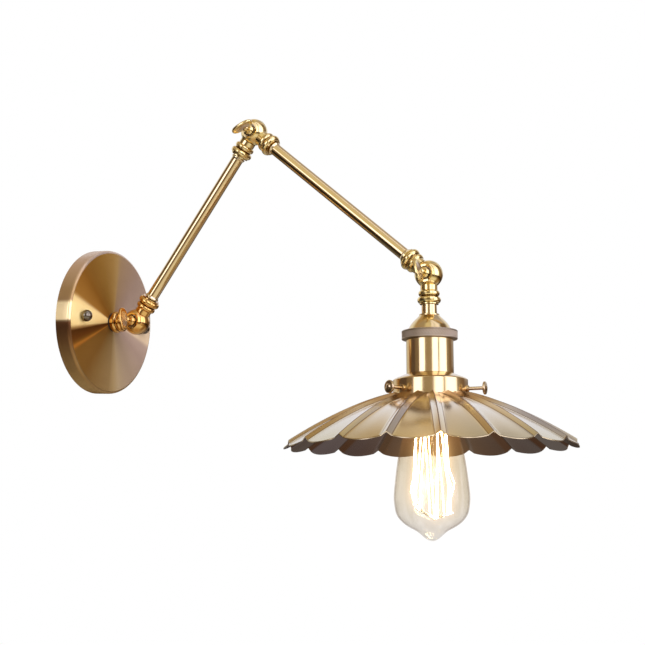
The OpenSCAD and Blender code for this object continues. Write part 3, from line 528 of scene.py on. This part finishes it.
def catmull(points, k):
    out = []
    n = len(points)
    for i in range(n - 1):
        p = [Vector(points[max(0, min(n - 1, i + j))]) for j in (-1, 0, 1, 2)]
        for s in range(k):
            t = s / k
            v = 0.5 * ((2 * p[1]) + (p[2] - p[0]) * t + (2 * p[0] - 5 * p[1] + 4 * p[2] - p[3]) * t * t
                       + (3 * p[1] - p[0] - 3 * p[2] + p[3]) * t ** 3)
            out.append(tuple(v))
    out.append(tuple(points[-1]))
    return out


def lathe(outline, n=96, shape=None):
    """Turns a closed outline of (r, z) about z. Points on the axis become poles.
    shape(r, z, angle) may change r."""
    verts, rows = [], []
    for r, z in outline:
        if r < 1e-5:
            rows.append([len(verts)])
            verts.append((0, 0, z))
        else:
            rows.append(list(range(len(verts), len(verts) + n)))
            for j in range(n):
                t = 2 * math.pi * j / n
                q = shape(r, z, t) if shape else r
                verts.append((q * math.cos(t), q * math.sin(t), z))
    faces = []
    m = len(rows)
    for i in range(m):
        a, b = rows[i], rows[(i + 1) % m]
        if len(a) == 1 and len(b) == 1:
            continue
        for j in range(n):
            k = (j + 1) % n
            if len(a) == 1:
                faces.append((a[0], b[j], b[k]))
            elif len(b) == 1:
                faces.append((a[j], b[0], a[k]))
            else:
                faces.append((a[j], b[j], b[k], a[k]))
    return verts, faces


def joined(*parts):
    verts, faces = [], []
    for v, f in parts:
        base = len(verts)
        verts += v
        faces += [tuple(i + base for i in q) for q in f]
    return verts, faces


def moved(part, matrix):
    return [tuple(matrix @ Vector(v)) for v in part[0]], part[1]


def tube(path, radius, sides=8, closed=False):
    """A round wire along points, with no twist."""
    pts = [Vector(p) for p in path]
    n = len(pts)
    verts, faces = [], []
    t = (pts[1] - pts[0]).normalized()
    u = t.orthogonal().normalized()
    for i in range(n):
        if closed:
            t2 = (pts[(i + 1) % n] - pts[i - 1]).normalized()
        else:
            t2 = (pts[min(n - 1, i + 1)] - pts[max(0, i - 1)]).normalized()
        u = (u - t2 * u.dot(t2)).normalized()
        v = t2.cross(u)
        r = radius(i) if callable(radius) else radius
        for j in range(sides):
            a = 2 * math.pi * j / sides
            verts.append(tuple(pts[i] + u * (r * math.cos(a)) + v * (r * math.sin(a))))
    for i in range(n if closed else n - 1):
        k = (i + 1) % n
        for j in range(sides):
            l = (j + 1) % sides
            faces.append((i * sides + j, k * sides + j, k * sides + l, i * sides + l))
    if not closed:
        faces.append(tuple(range(sides - 1, -1, -1)))
        faces.append(tuple((n - 1) * sides + j for j in range(sides)))
    return verts, faces


def paint(node, mat):
    o = NODE[node]
    o.data.materials.clear()
    o.data.materials.append(mat)


# ---------------------------------------------------------------- canopy
def canopy_face(r):
    """Height of the slightly domed face."""
    return 16.5 - 1.2 * (max(0.0, r - 14) / 51) ** 2


def canopy():
    d, r, w = 16.5, 68.0, 1.2
    steps = (65, 60, 54, 47, 40, 33, 26, 20, 14, 5.08)
    lo = canopy_face(65) - 3
    prof = [(q, canopy_face(q)) for q in reversed(steps)]
    prof += [(65 + 3 * math.sin(math.radians(a)), lo + 3 * math.cos(math.radians(a))) for a in range(10, 91, 10)]
    prof += [(r, 0.0), (r - w, 0.0)]
    prof += [(65 + 1.8 * math.cos(math.radians(a)), lo + 1.8 * math.sin(math.radians(a))) for a in range(0, 81, 16)]
    prof += [(q, canopy_face(q) - w) for q in steps]
    dense = []
    for i, p in enumerate(prof):
        q = prof[(i + 1) % len(prof)]
        dense.append(p)
        far = math.dist(p, q)
        for s in range(1, int(far // 5)):
            t = s / int(far // 5)
            dense.append((p[0] + (q[0] - p[0]) * t, p[1] + (q[1] - p[1]) * t))
    v, f = lathe(dense, 192)
    cz = [(sum(math.hypot(v[i][0], v[i][1]) for i in q) / len(q), sum(v[i][2] for i in q) / len(q)) for q in f]

    def which(i):
        rr, zz = cz[i]
        if rr < 65.5 and zz > canopy_face(rr) - 0.5:
            return 0
        if rr > r - 0.6 or (rr > 65 and zz > lo and math.hypot(rr - 65, zz - lo) > 2.4):
            return 1
        return 2
    piece("canopy_shell", v, f, CANOPY, "wall_plate", [M["canopy"], M["canopy_side"], M["canopy_in"]],
          ["canopy"], which)


canopy()


def ball_nuts(x=48.0):
    lo = canopy_face(x - 3.9) + 0.02
    prof = [(0, 2.4), (1.6, 2.4), (1.97, 2.8), (1.97, lo), (3.6, lo)]
    c = lo + 3.9
    for i in range(1, 21):
        t = math.radians(-45 + (135 * i / 20))
        prof.append((max(0.0, 5.5 * math.cos(t)), c + 5.5 * math.sin(t)))
    prof[-1] = (0, prof[-1][1])
    one = lathe(prof, 48)
    v, f = joined(moved(one, Matrix.Translation((-x, 0, 0))), moved(one, Matrix.Translation((x, 0, 0))))
    piece("canopy_ball_nuts", v, f, CANOPY, "wall_plate", [M["nut"]], ["canopy_screws"])


ball_nuts(abs(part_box("canopy_screws")[0].x) / MM - 5.5)


# ---------------------------------------------------------------- arms
def arm(name, length, place, body, mat, node):
    z0, z1 = 16.6, 26.6
    prof = fillet([(3.6, z0), (5.0, z0), (5.0, z1), (5.5, z1), (5.5, length - z1), (5.0, length - z1), (5.0, length - z0), (3.6, length - z0)])
    dense = []
    for i, p in enumerate(prof):
        q = prof[(i + 1) % len(prof)]
        dense.append(p)
        k = int(math.dist(p, q) // 12)
        dense += [(p[0] + (q[0] - p[0]) * s / k, p[1] + (q[1] - p[1]) * s / k) for s in range(1, k)]
    v, f = lathe(dense, 64)
    mid = [sum(v[i][2] for i in q) / len(q) for q in f]
    # tube faces within 26.8 mm of either hinge get the painted shadow
    piece(name, v, f, place, body, [mat, M["gap"]], [node], lambda i: 1 if min(mid[i], length - mid[i]) < 26.8 else 0)


arm("arm_1_tube_drawn", ARM_1, LINK_1, "arm_1", M["tube_1"], "arm_1_tube")
arm("arm_2_tube_drawn", ARM_2, LINK_2, "arm_2", M["tube_2"], "arm_2_tube")


def collars(name, length, place, body, mat, node):
    """A flared ferrule at each end of a tube."""
    def one(z, s):
        return lathe(fillet([(5.53, z), (6.5, z, 0.25), (6.55, z + s * 0.9, 0.4), (5.95, z + s * 1.8, 0.5), (5.75, z + s * 2.4, 0.2), (5.53, z + s * 2.4)], 4), 64)
    v, f = joined(one(27.1, 1), one(length - 27.1, -1))
    piece(name, v, f, place, body, [mat], [node])


collars("arm_1_ferrules", ARM_1, LINK_1, "arm_1", M["collar_1"], "arm_1_collars")
collars("arm_2_ferrules", ARM_2, LINK_2, "arm_2", M["collar_2"], "arm_2_collars")


# ---------------------------------------------------------------- thumb screws
def thumb_screw(name, point, leaf, body, mat, node):
    """Pin, shoulder, waisted neck and a dished leaf with a rolled rim."""
    pin = fillet([(0, -7.5), (2.5, -7.5, 0.5), (2.5, 7.9), (5.3, 7.95, 0.3), (5.3, 10.4, 0.5)], 4)
    neck = catmull([(4.7, 11.15), (4.0, 11.7), (3.2, 13.0), (2.9, 15.0), (3.0, 17.4)], 5)
    prof = pin + neck + [(2.2, 18.4), (1.2, 19.0), (0, 19.1)]
    v, f = lathe(prof, 48)
    turn = Matrix.Rotation(math.radians(-90), 4, "Y")
    stem = moved((v, f), turn)
    # leaf: rings from the middle of one face over the rim to the middle of the other
    n = 72
    lv, lf = [], []
    rings = []
    ring_spec = [(0.0, 0.72), (0.25, 0.72), (0.5, 0.78), (0.68, 0.92), (0.80, 1.12), (0.90, 1.25), (0.96, 1.12), (0.99, 0.75), (1.0, 0.30)]
    full = [(s, t) for s, t in ring_spec] + [(s, -t) for s, t in reversed(ring_spec)]
    for s, t in full:
        if s == 0:
            rings.append([len(lv)])
            lv.append((-22.6, t, 0))
            continue
        rings.append(list(range(len(lv), len(lv) + n)))
        for j in range(n):
            a = 2 * math.pi * j / n
            c, q = math.cos(a), math.sin(a)
            lv.append((-22.6 + s * 6.4 * math.copysign(abs(c) ** 0.88, c), t, s * 10.6 * math.copysign(abs(q) ** 0.88, q)))
    for a, b in zip(rings[:-1], rings[1:]):
        for j in range(n):
            k = (j + 1) % n
            if len(a) == 1:
                lf.append((a[0], b[j], b[k]))
            elif len(b) == 1:
                lf.append((a[j], b[0], a[k]))
            else:
                lf.append((a[j], b[j], b[k], a[k]))
    v, f = joined(stem, (lv, lf))
    first = len(stem[1])
    inner_rows = 3 * n
    total = len(lf)

    def which(i):
        return 1 if i >= first and (i - first < inner_rows or i - first >= total - inner_rows) else 0
    piece(name, v, f, at(point, leaf), body, [mat, M["leaf"]], [node], which, sharp=45)


thumb_screw("wall_thumb_screw_dished", K1, -11, "wall_screw", M["k1"], "wall_thumb_screw")
thumb_screw("elbow_thumb_screw_dished", K2, 62, "elbow_screw", M["k2"], "elbow_thumb_screw")
thumb_screw("head_thumb_screw_dished", K3, -16, "head_screw", M["k3"], "head_thumb_screw")


# ---------------------------------------------------------------- lampholder
def head_piece(name, outline, mat, nodes, n=128, shape=None, sharp=32.0):
    v, f = lathe(outline, n, shape)
    return piece(name, v, f, HEAD, "head", [mat], nodes, sharp=sharp)


head_piece("head_spacer_sleeve", fillet([(5.08, 26.25), (6.55, 26.25, 0.2), (6.55, 34.55, 0.2), (5.08, 34.55)]), M["holder"], ["head_spacer"], 64)
curve = catmull([(8.75, 35.9), (10.5, 37.7), (13.9, 41), (16.2, 43.9), (17.7, 46.4), (18.8, 48.3)], 8)
inner = [(r - 1.15, z + 0.75 * (1 - i / (len(curve) - 1)) + 0.1) for i, (r, z) in enumerate(curve)]
head_piece("lampholder_cap_spun", [(5.08, 34.6), (8.2, 34.6), (8.6, 34.75), (8.75, 35.05), (8.72, 35.5)] + curve + [(19.9, 48.4), (20.05, 48.5), (20.05, 48.85), (18.3, 48.85)]
           + inner[::-1] + [(5.08, 36.6)], M["dome"], ["lampholder_cap"])


def knurl(r, z, t):
    if r < 23.0 or z < 49.75 or z > 55.95:
        return r
    edge = min(1.0, (z - 49.75) / 0.5, (55.95 - z) / 0.5)
    a = t * 54
    b = (z - 49.7) / 1.4 * math.pi
    tooth = (1 - abs(math.sin((a + b) / 2))) * 0.5 + (1 - abs(math.sin((a - b) / 2))) * 0.5
    return r - 0.75 * edge * (1 - tooth)


grip = [(20.2, 48.95), (23.2, 48.95), (23.55, 49.05), (23.85, 49.4), (23.98, 49.75)]
grip += [(24.0, 49.75 + 6.2 * i / 36) for i in range(1, 36)]
grip += [(23.98, 55.95), (23.85, 56.3), (23.55, 56.6), (23.2, 56.7), (20.2, 56.7)]
head_piece("knurled_ring_cut", grip, M["knurl"], ["knurled_ring"], 768, knurl, 70)
head_piece("lampholder_barrel_turned", fillet([(18.95, 48.9), (20.15, 48.9, 0.2), (20.15, 52), (20.15, 60), (20.15, 70), (20.15, 80), (20.15, 86.1, 0.35),
                                               (17.4, 86.1), (17.4, 85.2), (18.95, 85.2)]), M["holder"], ["lampholder_barrel"])


SCREW_AZ, SCREW_Z = (83, 203, 323), 99.8


def fitter():
    v, f = lathe(fillet([(16.8, 86.15), (20.6, 86.15, 0.6), (30.4, 90.2, 0.8), (32.0, 91.4, 1.0), (32.0, 95), (32.0, 100), (32.0, 105.1, 0.3), (30.8, 105.1, 0.3),
                         (30.8, 91.9, 0.5), (20.4, 87.4), (16.8, 87.4)]), 144)
    parts = [(v, f)]
    for a in SCREW_AZ:
        boss = lathe(fillet([(1.58, 30.9), (2.8, 30.9), (2.8, 33.6, 0.3), (1.58, 33.6, 0.2)]), 32)
        m = Matrix.Rotation(math.radians(a), 4, "Z") @ Matrix.Translation((0, 0, SCREW_Z)) @ Matrix.Rotation(math.radians(90), 4, "Y")
        parts.append(moved(boss, m))
    v, f = joined(*parts)
    piece("fitter_ring_spun", v, f, HEAD, "head", [M["fitter"]], ["fitter_ring"])


fitter()
for name, a in zip(("front", "left", "right"), SCREW_AZ):
    v, f = lathe(fillet([(0, 28.62), (1.2, 28.62), (1.5, 29.0), (1.5, 45.4), (2.3, 46.2, 0.5), (4.9, 46.4), (5.6, 46.8, 0.3), (5.6, 48.0, 0.4), (4.8, 48.5, 0.3),
                         (2.6, 48.8, 0.8), (1.4, 49.4, 0.5), (0, 49.6)], 4), 56)
    m = HEAD @ Matrix.Rotation(math.radians(a), 4, "Z") @ Matrix.Translation((0, 0, SCREW_Z)) @ Matrix.Rotation(math.radians(90), 4, "Y")
    piece("fitter_screw_%s_turned" % name, v, f, m, name + "_fitter_screw", [M["screw"]], ["fitter_screw_" + name])


# ---------------------------------------------------------------- shade
PETALS, TOP, NOTCH_R, HANG, RIDGE_H, RIDGE_W = 18, 105.2, 122.0, 2.3, 3.3, 9.5
P = 360.0 / PETALS


def fall(r):
    x = max(0.0, (r - 32) / 90.5)
    return 41.3 * (0.47 * (r - 32) / 90.5 + 0.53 * x ** 1.75)


# columns of one petal, from one ridge line to the next: (kind, parameter)
COLS = [("r", 0.0), ("r", 0.10), ("r", 0.90), ("r", 1.0)] + [("p", i / 14) for i in range(1, 14)] + [("r", -1.0), ("r", -0.90), ("r", -0.10)]


def shade_point(s, i, col, down=0.0):
    kind, q = col
    r_for_w = 32 + 90 * s
    w = min(0.4 * P, math.degrees(math.asin(min(1, RIDGE_W / 2 / r_for_w))))
    if kind == "r":
        u, t = 1.0, q
        a = t * w if q >= 0 else P + t * w
        lift = (1 - abs(t)) if abs(t) > 0.05 else 0.94
        if abs(abs(t) - 0.10) < 1e-6:
            lift = 0.885
        if abs(abs(t) - 0.90) < 1e-6:
            lift = 0.085
    else:
        u = abs(2 * q - 1)
        a = w + (P - 2 * w) * q
        lift = 0.0
    rise = min(1.0, s / 0.06)
    rise = math.sqrt(max(0.0, rise * (2 - rise)))
    ridge = RIDGE_H * lift * rise
    re = NOTCH_R + 3 * (1 - u * u)
    r = 32 + (re - 32) * s
    dish = HANG * s ** 1.6 * (1 - u * u)
    # a shallow pressed hollow in each petal, with a rounded start under the fitter
    press = 0.7 * (1 - u ** 4) * min(1.0, s / 0.10) * (1 - s) ** 0.5 if kind == "p" else 0.0
    ang = math.radians(13.7 + P * i + a)
    return (r * math.cos(ang), r * math.sin(ang), TOP + fall(32 + 90 * s) + dish + press - ridge + down)


def shade():
    rows = [0, 0.008, 0.018, 0.03, 0.045, 0.06, 0.08] + [0.11 + 0.86 * i / 34 for i in range(35)] + [0.985, 0.996]
    n = len(COLS) * PETALS
    wall = 0.9
    R, kinds = [], []

    def add(kind, fn):
        R.append([fn(i, c) for i in range(PETALS) for c in COLS])
        kinds.append(kind)

    def ring(r, z):
        def fn(i, c):
            x, y, _ = shade_point(0, i, c)
            k = r / math.hypot(x, y)
            return (x * k, y * k, z)
        return fn
    for r, z in ((28.5, 92.5), (28.5, 98), (28.5, TOP - 2.0), (28.65, TOP - 1.1), (29.1, TOP - 0.4), (29.9, TOP - 0.05)):
        add(0, ring(r, z))
    for s in rows:
        add(0, lambda i, c, s=s: shade_point(s, i, c))
    # rolled edge
    for s, d in ((1.0, 0.12), (1.0012, 0.45), (1.0, 0.82)):
        add(2, lambda i, c, s=s, d=d: shade_point(min(s, 1.0), i, c, d * wall * 1.1))
    for s in reversed(rows):
        add(1, lambda i, c, s=s: shade_point(s, i, c, wall * 1.12))
    for r, z in ((29.6, TOP + 0.95), (28.8, TOP + 0.6), (28.1, TOP), (27.7, TOP - 0.9), (27.6, TOP - 2.0), (27.6, 92.5)):
        add(1, ring(r, z))
    verts = [p for row in R for p in row]
    faces, which = [], []
    m = len(R)
    for i in range(m):
        k = (i + 1) % m
        for j in range(n):
            l = (j + 1) % n
            faces.append((i * n + j, k * n + j, k * n + l, i * n + l))
            a, b = kinds[i], kinds[k]
            # faces along each ridge crest and each ridge foot get the dark painted shade lines
            crease = j % len(COLS) in (0, 2, len(COLS) - 3, len(COLS) - 1) and a == 0 and b == 0 and i > 8
            which.append(2 if 2 in (a, b) else (1 if (a == 1 or b == 1) else (3 if crease else 0)))
    piece("shade_petals", verts, faces, HEAD, "head", [M["shade"], M["shade_in"], M["rim"], M["crease"]], ["shade"], lambda i: which[i], sharp=24)


shade()


# ---------------------------------------------------------------- bulb
ENV = [(12.1, 99), (12.15, 107), (13.3, 112.4), (16.2, 119), (20.4, 129), (24.6, 141), (28, 156), (30.3, 172), (32, 188), (31.7, 196),
       (30.3, 203.5), (27, 209), (21.4, 213.9), (13.6, 218.2), (10.6, 220.4), (8.2, 222.6), (4.8, 225.3), (2, 226.6), (0, 226.9)]


def envelope():
    e = catmull(ENV, 6)
    e = [(max(0.0, r), z) for r, z in e]
    e[-1] = (0.0, 226.9)
    inside = []
    for i in range(len(e) - 4):
        a, b = Vector(e[max(0, i - 1)]), Vector(e[min(len(e) - 1, i + 1)])
        t = (b - a).normalized()
        inside.append((e[i][0] - 0.8 * t.y, e[i][1] + 0.8 * t.x))
    inside = [(max(r, 0.4), z) for r, z in inside] + [(0, 226.05)]

    def seam(r, z, t):
        """The drawn-off tip has a faint wavy seam where it was melted shut."""
        if 214 < z < 225:
            return r * (1 + 0.010 * math.sin(5 * t) * math.sin((z - 214) / 11 * math.pi))
        return r
    v, f = lathe(e + inside[::-1], 112, seam)
    return piece("bulb_envelope", v, f, HEAD, "bulb", [M["glass"]], ["bulb_glass"])


envelope()


def stem():
    top = catmull([(11.2, 101), (7.6, 104), (4.6, 110), (3.6, 118), (3.0, 126), (1.7, 131)], 6)
    v, f = lathe([(0, 100.2), (11.0, 100.2), (11.2, 100.4)] + top + [(1.5, 140), (1.5, 160), (1.5, 180), (1.5, 198), (1.7, 202), (2.6, 203), (2.9, 204.2), (2.6, 205.4), (1.7, 206.2), (0, 206.4)], 48)
    piece("bulb_stem_drawn", v, f, HEAD, "bulb", [M["stem_glass"]], ["bulb_stem_glass"])


stem()


def filament():
    loops = 11
    n = 2 * loops

    def corner(k):
        a = 2 * math.pi * k / n
        low = k % 4 in (1, 2)
        r = (15.9 if low else 12.8)
        if not low:
            return Vector((r * math.cos(a), r * math.sin(a), 136.0))
        lift = 10.5 * max(0.0, math.cos(a - math.radians(243))) + 3.0 * max(0.0, math.cos(a - math.radians(63))) ** 4
        return Vector((r * math.cos(a), r * math.sin(a), 204.5 + 3.6 * math.cos(a - math.radians(153)) ** 2 - lift))
    path = []
    for k in range(n):
        p, q = corner(k), corner(k + 1)
        if abs(p.z - q.z) > 1:
            # slack strands: they hang out most low down, on two sides
            bow = 0.5 + 0.4 * math.sin(k * 2.4)
            out = Vector(((p.x + q.x), (p.y + q.y), 0)).normalized()
            turned = math.degrees(math.atan2(out.y, out.x))
            sag = [(m * max(0.0, math.cos(math.radians(turned - az))) ** 3, at_) for az, m, at_ in ((243, 3.4, 0.84), (63, 4.4, 0.66))]
            for s in range(14):
                t = s / 14
                down = t if p.z < q.z else 1 - t
                slack = sum(m * math.exp(-((down - at_) / 0.13) ** 2) for m, at_ in sag) * math.sin(math.pi * t) ** 0.5
                path.append(p.lerp(q, t) + out * (bow * math.sin(math.pi * t) + slack))
        else:
            for s in range(3):
                path.append(p.lerp(q, s / 3))
    v, f = tube(path, 0.42, 8, closed=True)
    piece("bulb_filament_cage", v, f, HEAD, "bulb", [M["filament"]], ["bulb_filament"], sharp=80)
    parts = []
    for k in range(n):
        c = corner(k)
        lower = c.z > 170
        z = 206.2 if lower else 129.4
        a = 2 * math.pi * k / n
        start = Vector((2.0 * math.cos(a), 2.0 * math.sin(a), z))
        bend = Vector((c.x * 0.9, c.y * 0.9, c.z + (1.3 if lower else -1.6)))
        hook = Vector((c.x * 1.02, c.y * 1.02, c.z + (0.4 if lower else -0.4)))
        tip = Vector((c.x * 0.985, c.y * 0.985, c.z + (-1.0 if lower else 1.0)))
        pts = catmull([tuple(start), tuple(start.lerp(bend, 0.55) + Vector((0, 0, 0.8 if lower else -0.8))), tuple(bend), tuple(hook), tuple(tip)], 4)
        parts.append(tube(pts, 0.2, 6))
    v, f = joined(*parts)
    piece("bulb_support_hooks", v, f, HEAD, "bulb", [M["support"]], ["bulb_supports"], sharp=80)


filament()


def cap():
    prof = [(9.6, 88.9), (11.2, 88.9), (11.7, 89.1), (12.5, 90.4)]
    for i in range(4):
        for j in range(9):
            a = math.radians(-90 + 180 * j / 8)
            prof.append((12.55 + 0.6 * math.cos(a), 93.6 + 3.6 * i + 1.5 * math.sin(a)))
    prof += [(12.6, 107.2), (13.1, 107.7), (13.3, 108.2), (13.3, 110.2), (13.2, 110.4), (13.0, 110.4), (12.5, 107.6), (12.3, 98.9), (12.2, 91), (11.2, 89.6), (9.6, 89.6)]
    v, f = lathe(prof, 80)
    piece("bulb_cap_rolled", v, f, HEAD, "bulb", [M["nickel"]], ["bulb_cap"], sharp=50)


cap()

# ---------------------------------------------------------------- carried-over CAD nodes
CARRIED = {
    "mounting_crossbar": "steel", "terminal_block": "block", "terminal_screws": "steel", "ground_screw": "screw", "wall_wires": "wires_wall",
    "wall_knuckle": "k1", "wall_nipple": "screw", "wall_locknut": "screw", "wall_lock_washer": "steel", "canopy_washer": "fibre",
    "wall_friction_washer": "fibre", "swivel_wires": "wires_swivel",
    "arm_1_lower_knuckle": "k1", "arm_1_upper_knuckle": "k2", "elbow_friction_washer": "fibre", "arm_1_wires": "wires_1",
    "arm_2_upper_knuckle": "k2", "arm_2_lower_knuckle": "k3", "head_friction_washer": "fibre", "arm_2_wires": "wires_2",
    "head_knuckle": "k3", "head_nipple": "screw", "cap_locknut": "screw", "socket_insulator": "porcelain", "socket_shell": "contact",
    "centre_contact": "contact", "socket_terminals": "contact", "fitter_clamp_ring": "contact", "head_wires": "wires_head",
    "wall_screw_washer": "steel", "elbow_screw_washer": "steel", "head_screw_washer": "steel",
    "bulb_tip_contact": "solder", "bulb_base_insulator": "black",
}
for node, key in CARRIED.items():
    paint(node, M[key])

# ---------------------------------------------------------------- world, light, floor
scene = bpy.context.scene
world = bpy.data.worlds.new("studio")
scene.world = world
world.use_nodes = True
w = Nodes(world.node_tree)
direction = w.add("ShaderNodeTexCoord").outputs["Generated"]
flat_back = Vector((-LOOK.x, -LOOK.y, 0)).normalized()
flat_right = Vector((RIGHT.x, RIGHT.y, 0)).normalized()
psi = w.math("ARCTAN2", w.dot(direction, flat_right), w.dot(direction, flat_back))
turn = w.math("ADD", w.math("DIVIDE", psi, 2 * math.pi), 0.5)
elev = w.math("ADD", w.math("DIVIDE", w.math("ARCSINE", w.dot(direction, (0, 0, 1))), math.pi), 0.5)


def deg(a):
    return (a + 180) / 360


def el(a):
    return (a + 90) / 180


PALE, DARK, WHITE, TAN = (0.90, 0.86, 0.80), (0.115, 0.080, 0.065), (2.4, 2.4, 3.0), (0.39, 0.32, 0.24)
LINE = (0.42, 0.38, 0.30)
around = w.ramp(turn, [
    (deg(-180), (0.40, 0.38, 0.36)), (deg(-135), (0.75, 0.72, 0.66)), (deg(-118), PALE), (deg(-112), DARK), (deg(-84), DARK), (deg(-78), (0.23, 0.17, 0.12)), (deg(-58), (0.22, 0.17, 0.12)),
    (deg(-55), WHITE), (deg(-32), WHITE), (deg(-27), TAN), (deg(4), TAN), (deg(11), WHITE), (deg(34), WHITE), (deg(37), LINE), (deg(41), LINE),
    (deg(45), WHITE), (deg(80), WHITE), (deg(86), (0.38, 0.34, 0.29)), (deg(103), (0.27, 0.19, 0.14)), (deg(120), (0.20, 0.13, 0.09)), (deg(150), (0.16, 0.12, 0.10)), (deg(180), (0.36, 0.34, 0.34))])
around = w.mix(1.0, around, w.ramp(elev, [(el(30), 1.0), (el(52), 0.5)]), "MULTIPLY")
# behind the lamp, above the horizon: a pale wall
pale_wall = w.ramp(elev, [(el(4), (0.55, 0.53, 0.56)), (el(10), (0.88, 0.88, 0.98)), (el(20), (0.90, 0.93, 1.08)), (el(34), (0.87, 0.90, 0.99)), (el(42), (0.79, 0.75, 0.75))])
behind = w.ramp(turn, [(deg(-180), 1.0), (deg(-140), 1.0), (deg(-118), 0.0), (deg(118), 0.0), (deg(140), 1.0), (deg(180), 1.0)])
high_behind = w.ramp(elev, [(el(5), 0.0), (el(13), 1.0)])
colour = w.mix(w.math("MULTIPLY", behind, high_behind), around, pale_wall)
# the ceiling: bright over the room, browner to the left of the lamp, greyer to the right
ceiling = w.ramp(turn, [(deg(-180), (0.74, 0.64, 0.50)), (deg(-166), (0.66, 0.54, 0.38)), (deg(-152), (0.47, 0.32, 0.16)), (deg(-120), (0.47, 0.32, 0.16)), (deg(-95), (0.42, 0.35, 0.28)), (deg(-56), (0.42, 0.35, 0.28)), (deg(-47), (0.80, 0.74, 0.58)),
                        (deg(70), (0.80, 0.74, 0.58)), (deg(94), (0.62, 0.43, 0.22)), (deg(117), (0.60, 0.41, 0.20)), (deg(119.5), (0.64, 0.60, 0.70)), (deg(136), (0.50, 0.48, 0.57)),
                        (deg(146), (0.40, 0.39, 0.47)), (deg(152), (0.40, 0.39, 0.46)), (deg(166), (0.60, 0.55, 0.50)), (deg(180), (0.74, 0.64, 0.50))])
ceiling = w.mix(w.ramp(elev, [(el(68), 0.0), (el(84), 1.0)]), ceiling, (0.56, 0.48, 0.32))
limit = w.ramp(turn, [(deg(-180), el(41)), (deg(-120), el(41)), (deg(-90), el(24)), (deg(-58), el(22)), (deg(-54), el(19)), (deg(-28), el(19)), (deg(-18), el(48)), (deg(2), el(60)), (deg(8), el(86)), (deg(84), el(86)), (deg(100), el(52)), (deg(125), el(41)), (deg(180), el(41))])
over = w.math("DIVIDE", w.math("SUBTRACT", elev, limit), 6 / 180, clamp=True)
colour = w.mix(over, colour, ceiling)
# below the horizon: a dark edge, then a bright table top in front, dark to the left
table = w.ramp(elev, [(el(-90), (0.44, 0.29, 0.17)), (el(-66), (0.60, 0.48, 0.35)), (el(-46), (0.85, 0.82, 0.78)), (el(-30), (0.85, 0.83, 0.80)), (el(-22), (0.45, 0.36, 0.25)),
                      (el(-15), (0.11, 0.080, 0.060)), (el(-5), (0.11, 0.080, 0.060))])
sides = w.ramp(turn, [(deg(-180), 0.55), (deg(-135), 0.4), (deg(-120), 0.13), (deg(-53), 0.13), (deg(-46), 1.0), (deg(66), 1.0), (deg(84), (0.36, 0.26, 0.16)), (deg(117), (0.36, 0.26, 0.16)),
                      (deg(119.5), (0.56, 0.55, 0.70)), (deg(150), (0.52, 0.50, 0.55)), (deg(180), 0.55)])
steep = w.ramp(elev, [(el(-76), 1.0), (el(-54), 0.0)])
sides = w.mix(steep, sides, (1, 1, 1))
table = w.mix(1.0, table, sides, "MULTIPLY")
below = w.ramp(elev, [(el(-7), 1.0), (el(-3), 0.0)])
colour = w.mix(below, colour, table)
path = w.add("ShaderNodeLightPath")
room = w.add("ShaderNodeBackground")
w.tree.links.new(colour, room.inputs[0])
room.inputs[1].default_value = 1.0
white = w.add("ShaderNodeBackground")
white.inputs[0].default_value = (1, 1, 1, 1)
white.inputs[1].default_value = 1.0
seen = w.math("MAXIMUM", path.outputs["Is Camera Ray"], path.outputs["Is Transmission Ray"])
both = w.add("ShaderNodeMixShader")
w.tree.links.new(seen, both.inputs[0])
w.tree.links.new(room.outputs[0], both.inputs[1])
w.tree.links.new(white.outputs[0], both.inputs[2])
end = w.add("ShaderNodeOutputWorld")
w.tree.links.new(both.outputs[0], end.inputs[0])


def lamp(name, kind, place, energy, size=0.1, aim=None, colour=(1, 1, 1), glossy=True):
    data = bpy.data.lights.new(name, kind)
    data.energy = energy
    data.color = colour
    if kind == "AREA":
        data.size = size
    else:
        data.shadow_soft_size = size
    o = bpy.data.objects.new(name, data)
    scene.collection.objects.link(o)
    o.location = place
    if aim is not None:
        o.rotation_mode = "QUATERNION"
        o.rotation_quaternion = (Vector(aim) - Vector(place)).to_track_quat("-Z", "Y")
    o.visible_glossy = glossy
    return o


lamp("soft_top", "AREA", (-0.5, -0.9, 1.5), 14.0, 1.6, (0, -0.2, 0), glossy=False)

floor_mesh = bpy.data.meshes.new("floor")
ring_v = [(1.6 * math.cos(2 * math.pi * i / 96), -0.25 + 1.6 * math.sin(2 * math.pi * i / 96), -0.62) for i in range(96)]
floor_mesh.from_pydata(ring_v, [], [tuple(range(96))])
floor = bpy.data.objects.new("floor", floor_mesh)
scene.collection.objects.link(floor)
fm, fg, fp, _ = material("pale_floor")
fg.put(fp, Base_Color=(0.91, 0.94, 0.91, 1), Roughness=0.9, Emission_Color=(1, 1, 1, 1), Emission_Strength=0.11)
floor_mesh.materials.append(fm)
floor.visible_glossy = False

scene.view_settings.view_transform = "Standard"
scene.view_settings.look = "None"

# glow round the lit filament, as a camera sees it
scene.use_nodes = True
tree = scene.node_tree
tree.nodes.clear()
layers = tree.nodes.new("CompositorNodeRLayers")
bloom = tree.nodes.new("CompositorNodeGlare")
bloom.glare_type = "BLOOM"
bloom.quality = "HIGH"
bloom.inputs["Threshold"].default_value = 3.0
bloom.inputs["Smoothness"].default_value = 0.3
bloom.inputs["Strength"].default_value = 0.36
bloom.inputs["Tint"].default_value = (1.0, 0.78, 0.52, 1.0)
bloom.inputs["Size"].default_value = 0.3
result = tree.nodes.new("CompositorNodeComposite")
tree.links.new(layers.outputs["Image"], bloom.inputs["Image"])
tree.links.new(bloom.outputs["Image"], result.inputs["Image"])
